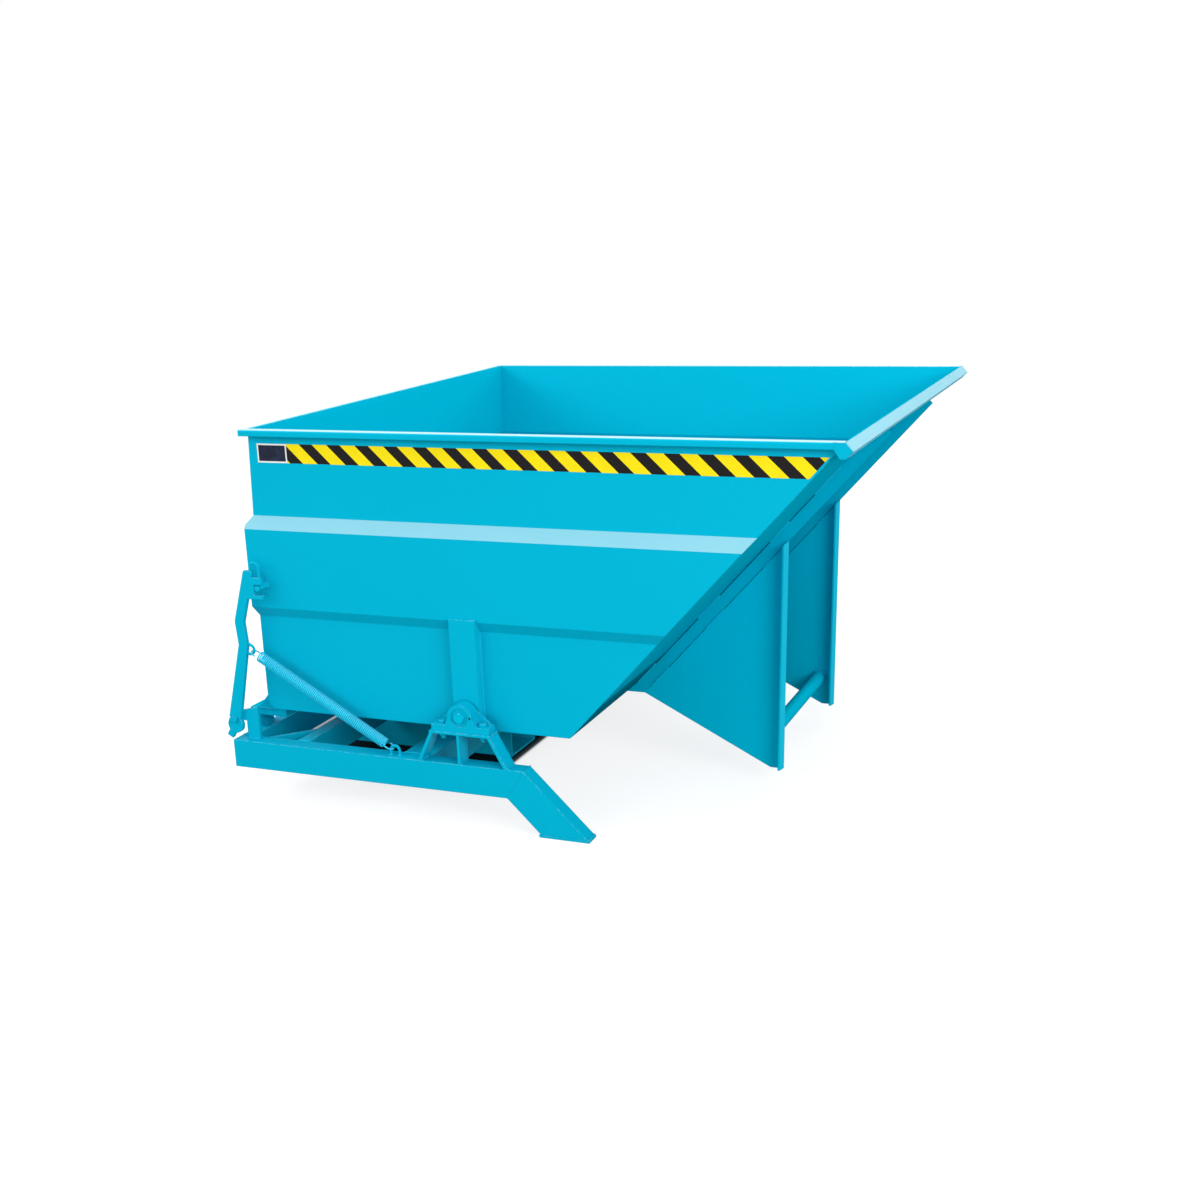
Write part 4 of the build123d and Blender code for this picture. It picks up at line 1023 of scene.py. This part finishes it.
@dataclass
class LatchSpring:
    """Tension spring between the lever's eye and the anchor on the beam.

    swing_start, a share of the way from the anchor to the eye, is not used.
    """

    wire: float = 0.00225
    coil: float = 0.01375
    turns: int = 80
    hook_turn: float = 0.006
    hook_run: float = 0.008
    hook_end: float = 0.006
    eye_radius: float = 0.014
    eye_rod: float = 0.004
    anchor_leg: float = 0.014
    gap: float = 0.0005
    steps: int = 18
    run_points: int = 4
    bow_points: int = 25
    sides: int = 8
    swing_start: float = 0.70

    def ends(self) -> tuple[np.ndarray, np.ndarray]:
        """Middles of the lever's eye and of the anchor."""
        low, high = corner("spring_eye")
        anchor_low, anchor_high = corner("spring_anchor")
        y = (low[1] + high[1]) / 2
        anchor = np.array([(anchor_low[0] + anchor_high[0]) / 2, y, anchor_low[2] + self.anchor_leg])
        reach = self.eye_radius + self.eye_rod
        return np.array([high[0] - reach, y, low[2] + reach]), anchor

    def hook(
        self, base: np.ndarray, outward: np.ndarray, level: np.ndarray
    ) -> tuple[np.ndarray, np.ndarray]:
        """Hook beyond one end of the coil: a straight run, a half circle and a short free end.

        Args:
            base: Middle of the coil's end.
            outward: Direction away from the coil.
            level: Offset of the run from the coil's axis.

        Returns:
            Points and spokes, from the coil to the free end.
        """
        radius = np.linalg.norm(level)
        run = np.linspace(0.0, 1.0, self.run_points)[:, None]
        start = base + outward * self.hook_turn
        straight = start + level + outward * self.hook_run * run
        turn = np.linspace(0.0, math.pi, self.bow_points)[1:-1, None]
        bow = unit(level) * np.cos(turn) + outward * np.sin(turn)
        centre = start + outward * self.hook_run
        free = centre - level - outward * self.hook_end * run
        points = np.concatenate([straight, centre + bow * radius, free])
        sideways = np.repeat(level[None], self.run_points, 0)
        return points, unit(np.concatenate([sideways, bow, -sideways]))

    def route(self) -> tuple[np.ndarray, np.ndarray]:
        """Middle line of the wire: a hook, a helix of even pitch and a hook.

        Returns:
            Points and spokes.
        """
        eye, anchor = self.ends()
        along = unit(anchor - eye)
        up = np.array([0.0, 1.0, 0.0])
        over = np.cross(along, up)
        loop = math.hypot(self.coil, self.hook_turn)
        lead = math.atan2(self.hook_turn, self.coil)
        hook = self.hook_turn + self.hook_run + loop - self.wire
        reach = self.eye_radius - self.eye_rod - self.gap + hook
        first, last = eye + along * reach, anchor - along * reach
        share = np.linspace(0.0, 1.0, self.turns * self.steps)[:, None]
        angle = lead + (FULL_TURN * self.turns + math.pi - 2.0 * lead) * share
        spoke = up * np.cos(angle) + over * np.sin(angle)
        coil = first + (last - first) * share + spoke * self.coil
        start, start_spokes = self.hook(first, -along, up * loop)
        end, end_spokes = self.hook(last, along, -up * loop)
        points = np.concatenate([start[::-1], coil, end])
        return points, np.concatenate([start_spokes[::-1], spoke, end_spokes])

    def build(self, finishes: Finishes) -> None:
        """Build the spring in place of its solid.

        Args:
            finishes: The hopper's finishes.
        """
        points, spokes = self.route()
        grid = tube_grid(points, spokes, np.full((len(points), 1), self.wire), self.sides)
        faces = tube_faces(len(points), self.sides)
        piece = make_piece("latch_spring_wire", grid, faces, finishes.spring)
        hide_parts("latch_spring")
        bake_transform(piece)


@dataclass
class LatchLever:
    """The lever plate with its spring eye and rope eye."""

    nodes: dict[str, bpy.types.Object]

    def dress(self, finishes: Finishes) -> None:
        """Give the lever its finish.

        Args:
            finishes: The hopper's finishes.
        """
        for node in self.nodes.values():
            finishes.put(node, finishes.frame)


@dataclass
class Finishes:
    """Every finish of the hopper, made once."""

    tub: bpy.types.Material = field(init=False)
    underside: bpy.types.Material = field(init=False)
    rib: bpy.types.Material = field(init=False)
    plate: bpy.types.Material = field(init=False)
    highlighted: bpy.types.Material = field(init=False)
    rim: bpy.types.Material = field(init=False)
    frame: bpy.types.Material = field(init=False)
    casting: bpy.types.Material = field(init=False)
    welds: bpy.types.Material = field(init=False)
    spring: bpy.types.Material = field(init=False)
    hazard: bpy.types.Material = field(init=False)
    label: bpy.types.Material = field(init=False)
    seam: bpy.types.Material = field(init=False)
    tub_centre: Triple = (-0.1, 0.0, 0.9)
    deep: Colour = (0.0, 0.474, 0.686, 1.0)
    # The ribs' darker copy of the paint: painted shade under the chute.
    rib_shade: Colour = (0.0, 0.410, 0.593, 1.0)
    # Pale colour of the painted highlight on the rim's top.
    bright: Colour = (0.50, 0.74, 0.80, 1.0)
    lit: Colour = (0.02, 0.62, 0.86, 1.0)
    rib_edge: Triple = (0.735, 0.0, -0.678)

    def __post_init__(self) -> None:
        """Make the materials."""
        # Faces inside the tub take the inner copy, toned against the bounce light there: painted light.
        inner_tone = {"centre": self.tub_centre}
        # Painted shade: the chute's underside goes darker below a height.
        foot_shade = {"soil_and_shade": 0.58, "shade_top": 0.37}
        # Painted highlights on narrow faces: the ribs' lower faces and the plates' faces that look ahead.
        edge = {"sheen_from": 0.80, "sheen_full": 0.95, "specular": 0.0}
        below = {"painted_sheen": 0.95, "sheen_axis": self.rib_edge, **edge}
        ahead = {"painted_sheen": 0.8, "sheen_axis": (1.0, 0.0, 0.0), **edge}
        # Painted highlight along the rim's top.
        rim = {"painted_sheen": 1.0, "sheen_from": 0.70, "sheen_full": 0.96}
        # Painted highlight on the tops of the spring's coils; the spring also takes the lit copy of the
        # paint.
        wire = {"painted_sheen": 0.4, "sheen_full": 0.9, "specular": 0.05}
        self.tub = Paint("tub_paint", self.deep, specular=0.0, **inner_tone).material()
        self.underside = Paint("underside_paint", self.deep, specular=0.0, **inner_tone, **foot_shade).material()
        self.rib = Paint("rib_paint", self.rib_shade, self.lit, **below).material()
        self.plate = Paint("plate_paint", self.deep, self.lit, **ahead).material()
        # The outer sheet takes the painted sheen, a pale highlight on faces that look up.
        self.highlighted = Paint("highlight_paint", painted_sheen=0.97, **inner_tone).material()
        self.rim = Paint("rim_paint", pale=self.bright, **rim).material()
        self.frame = Paint("frame_paint").material()
        self.casting = Paint("casting_paint", grain=0.08, peel=0.0002, edge_radius=0.002).material()
        self.welds = Paint("weld_paint", edge=0.0, grain=0.10, peel=0.0001, specular=0.15).material()
        self.spring = Paint("spring_paint", self.lit, edge=0.0, **wire).material()
        self.hazard = HazardFilm("hazard_film").material()
        low, high = corner("label_plate")
        self.label = BarePlate("bare_plate", (low[0], low[2]), (high[0], high[2])).material()
        self.seam = SeamGap("open_seam").material()

    @staticmethod
    def put(node: bpy.types.Object, material: bpy.types.Material) -> None:
        """Set a material on every slot of an object."""
        for slot in node.material_slots:
            slot.material = material


@dataclass(frozen=True)
class Lamp:
    """Soft rectangular lamp that hangs at its place and looks at its aim."""

    name: str
    place: Triple
    size: Pair
    watts: float
    aim: Triple = (0.0, 0.0, 0.55)

    def hang(self) -> None:
        """Add the lamp to the scene."""
        data = bpy.data.lights.new(self.name, "AREA")
        data.shape = "RECTANGLE"
        data.size, data.size_y = self.size
        data.energy = self.watts
        lamp = bpy.data.objects.new(self.name, data)
        bpy.context.scene.collection.objects.link(lamp)
        lamp.location = self.place
        lamp.rotation_euler = (Vector(self.aim) - Vector(self.place)).to_track_quat("-Z", "Y").to_euler()


@dataclass
class Studio:
    """Camera at the photograph's place, soft lamps, a pale floor and a white surround.

    Angles are in degrees. The deep shade on the floor reaches from shade_low to shade_high in X and Y,
    and fades over shade_front at +X, shade_rear at -X and shade_side at both sides.
    """

    eye: Triple = (1.7774, -4.4564, 1.6889)
    azimuth: float = 22.763
    elevation: float = 14.507
    roll: float = -2.319
    focal_px: float = 1519.34
    image_px: float = 1200.0
    sensor: float = 36.0
    lamps: tuple[Lamp, ...] = (
        Lamp("key_lamp", (5.4, -4.4, 3.2), (4.0, 2.4), 240.0),
        Lamp("front_lamp", (1.2, -5.6, 0.8), (1.6, 1.2), 38.0),
        Lamp("left_lamp", (-3.4, -5.4, 3.0), (4.0, 2.2), 84.0),
        Lamp("top_lamp", (0.0, 0.6, 5.5), (4.5, 4.5), 112.0),
        Lamp("rear_lamp", (-4.6, -1.6, 3.4), (3.0, 2.0), 70.0),
        Lamp("far_lamp", (1.6, 5.6, 3.2), (4.0, 2.2), 85.0),
    )
    ambient: float = 0.62
    floor_bounce: float = 0.32
    floor_glow: float = 0.80
    floor_half: float = 60.0
    floor_drop: float = 0.0005
    deep_floor: Colour = (0.010, 0.018, 0.022, 1.0)
    shade_low: Pair = (-0.90, -0.42)
    shade_high: Pair = (-0.27, 0.70)
    shade_front: float = 0.04
    shade_side: float = 0.16
    shade_rear: float = 0.22
    dimming: float = 3.0

    def camera(self) -> None:
        """Place the camera: it looks along its azimuth and elevation, turned by the roll."""
        az, el, roll = (math.radians(value) for value in (self.azimuth, self.elevation, self.roll))
        back = Vector((math.sin(az) * math.cos(el), -math.cos(az) * math.cos(el), math.sin(el)))
        right = Vector((math.cos(az), math.sin(az), 0.0))
        up = back.cross(right)
        rolled_right = right * math.cos(roll) + up * math.sin(roll)
        rolled_up = up * math.cos(roll) - right * math.sin(roll)
        data = bpy.data.cameras.new("photo_camera")
        data.sensor_width = self.sensor
        data.lens = self.focal_px / self.image_px * self.sensor
        camera = bpy.data.objects.new("photo_camera", data)
        bpy.context.scene.collection.objects.link(camera)
        turn = Matrix((rolled_right, rolled_up, back)).transposed().to_4x4()
        camera.matrix_world = Matrix.Translation(self.eye) @ turn
        bpy.context.scene.camera = camera

    @staticmethod
    def shown(graph: Graph) -> Signal:
        """1 for rays from the camera, reflections and transmission, else 0."""
        path = graph.node("ShaderNodeLightPath")
        rays = ("Is Camera Ray", "Is Glossy Ray", "Is Transmission Ray")
        first, second, third = (Signal(graph, path.outputs[name]) for name in rays)
        return first.largest(second).largest(third)

    def surround(self) -> None:
        """White background where it shows, softer light elsewhere."""
        world = bpy.data.worlds.new("surround")
        bpy.context.scene.world = world
        world.use_nodes = True
        graph = Graph(world.node_tree)
        soft = graph.signal("ShaderNodeBackground", inputs={"Color": WHITE, "Strength": self.ambient})
        bright = graph.signal("ShaderNodeBackground", inputs={"Color": WHITE, "Strength": 1.0})
        mixed = graph.signal("ShaderNodeMixShader", inputs={0: self.shown(graph), 1: soft, 2: bright})
        graph.surface(mixed, "ShaderNodeOutputWorld")

    def deep_shade(self, graph: Graph) -> Signal:
        """1 on the floor between the beams, where little light comes, fading to 0 around it.

        Args:
            graph: The floor's graph.

        Returns:
            Mask from 0 to 1.
        """
        x, y, _ = graph.axes(graph.place())
        (back, right), (front, left) = self.shade_low, self.shade_high
        shade_x = x.ramp(back - self.shade_rear, back) * x.ramp(front + self.shade_front, front)
        return shade_x * y.ramp(right - self.shade_side, right) * y.ramp(left + self.shade_side, left)

    def floor_material(self) -> bpy.types.Material:
        """Pale floor that glows where it shows, and goes dark in the deep shade.

        Returns:
            The material.
        """
        material, graph = new_graph("pale_floor")
        grey = (self.floor_bounce,) * 3 + (1.0,)
        glow = (self.floor_glow,) * 3 + (1.0,)
        deep = self.deep_shade(graph)
        tint = graph.blend(deep, grey, self.deep_floor)
        bounce = graph.signal("ShaderNodeBsdfDiffuse", inputs={"Color": tint})
        light = graph.signal("ShaderNodeEmission", inputs={"Color": glow, "Strength": 1.0})
        pale = graph.signal("ShaderNodeAddShader", inputs={0: bounce, 1: light})
        lit = self.shown(graph) * (1.0 - (deep * self.dimming).smallest(1.0))
        graph.surface(graph.signal("ShaderNodeMixShader", inputs={0: lit, 1: bounce, 2: pale}))
        return material

    def floor(self) -> None:
        """Large pale floor that keeps the hopper's shadow."""
        half = self.floor_half
        corners = [(-half, -half, 0), (half, -half, 0), (half, half, 0), (-half, half, 0)]
        mesh = bpy.data.meshes.new("floor")
        mesh.from_pydata(corners, [], [(0, 1, 2, 3)])
        mesh.materials.append(self.floor_material())
        floor = bpy.data.objects.new("floor", mesh)
        floor.location.z = -self.floor_drop
        bpy.context.scene.collection.objects.link(floor)

    def build(self) -> None:
        """Make the camera, surround, floor and lamps."""
        bpy.context.scene.view_settings.view_transform = "Standard"
        self.camera()
        self.surround()
        self.floor()
        for lamp in self.lamps:
            lamp.hang()


def clear_scene() -> None:
    """Remove the objects that a new file holds."""
    for item in list(bpy.data.objects):
        bpy.data.objects.remove(item)


def main() -> None:
    """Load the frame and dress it."""
    logging.basicConfig(level=logging.INFO, format="%(name)s %(message)s")
    clear_scene()
    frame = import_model()
    bodies = frame["record"]["behaviour"]["bodies"]
    groups = {body: {name: frame["nodes"][name] for name in bodies[body.value]} for body in Body}
    Studio().build()
    finishes = Finishes()
    Tub(groups[Body.TUB]).dress(finishes)
    BaseFrame(groups[Body.BASE]).dress(finishes)
    LatchLever(groups[Body.LEVER]).dress(finishes)
    LatchSpring().build(finishes)


if __name__ == "__main__":
    main()
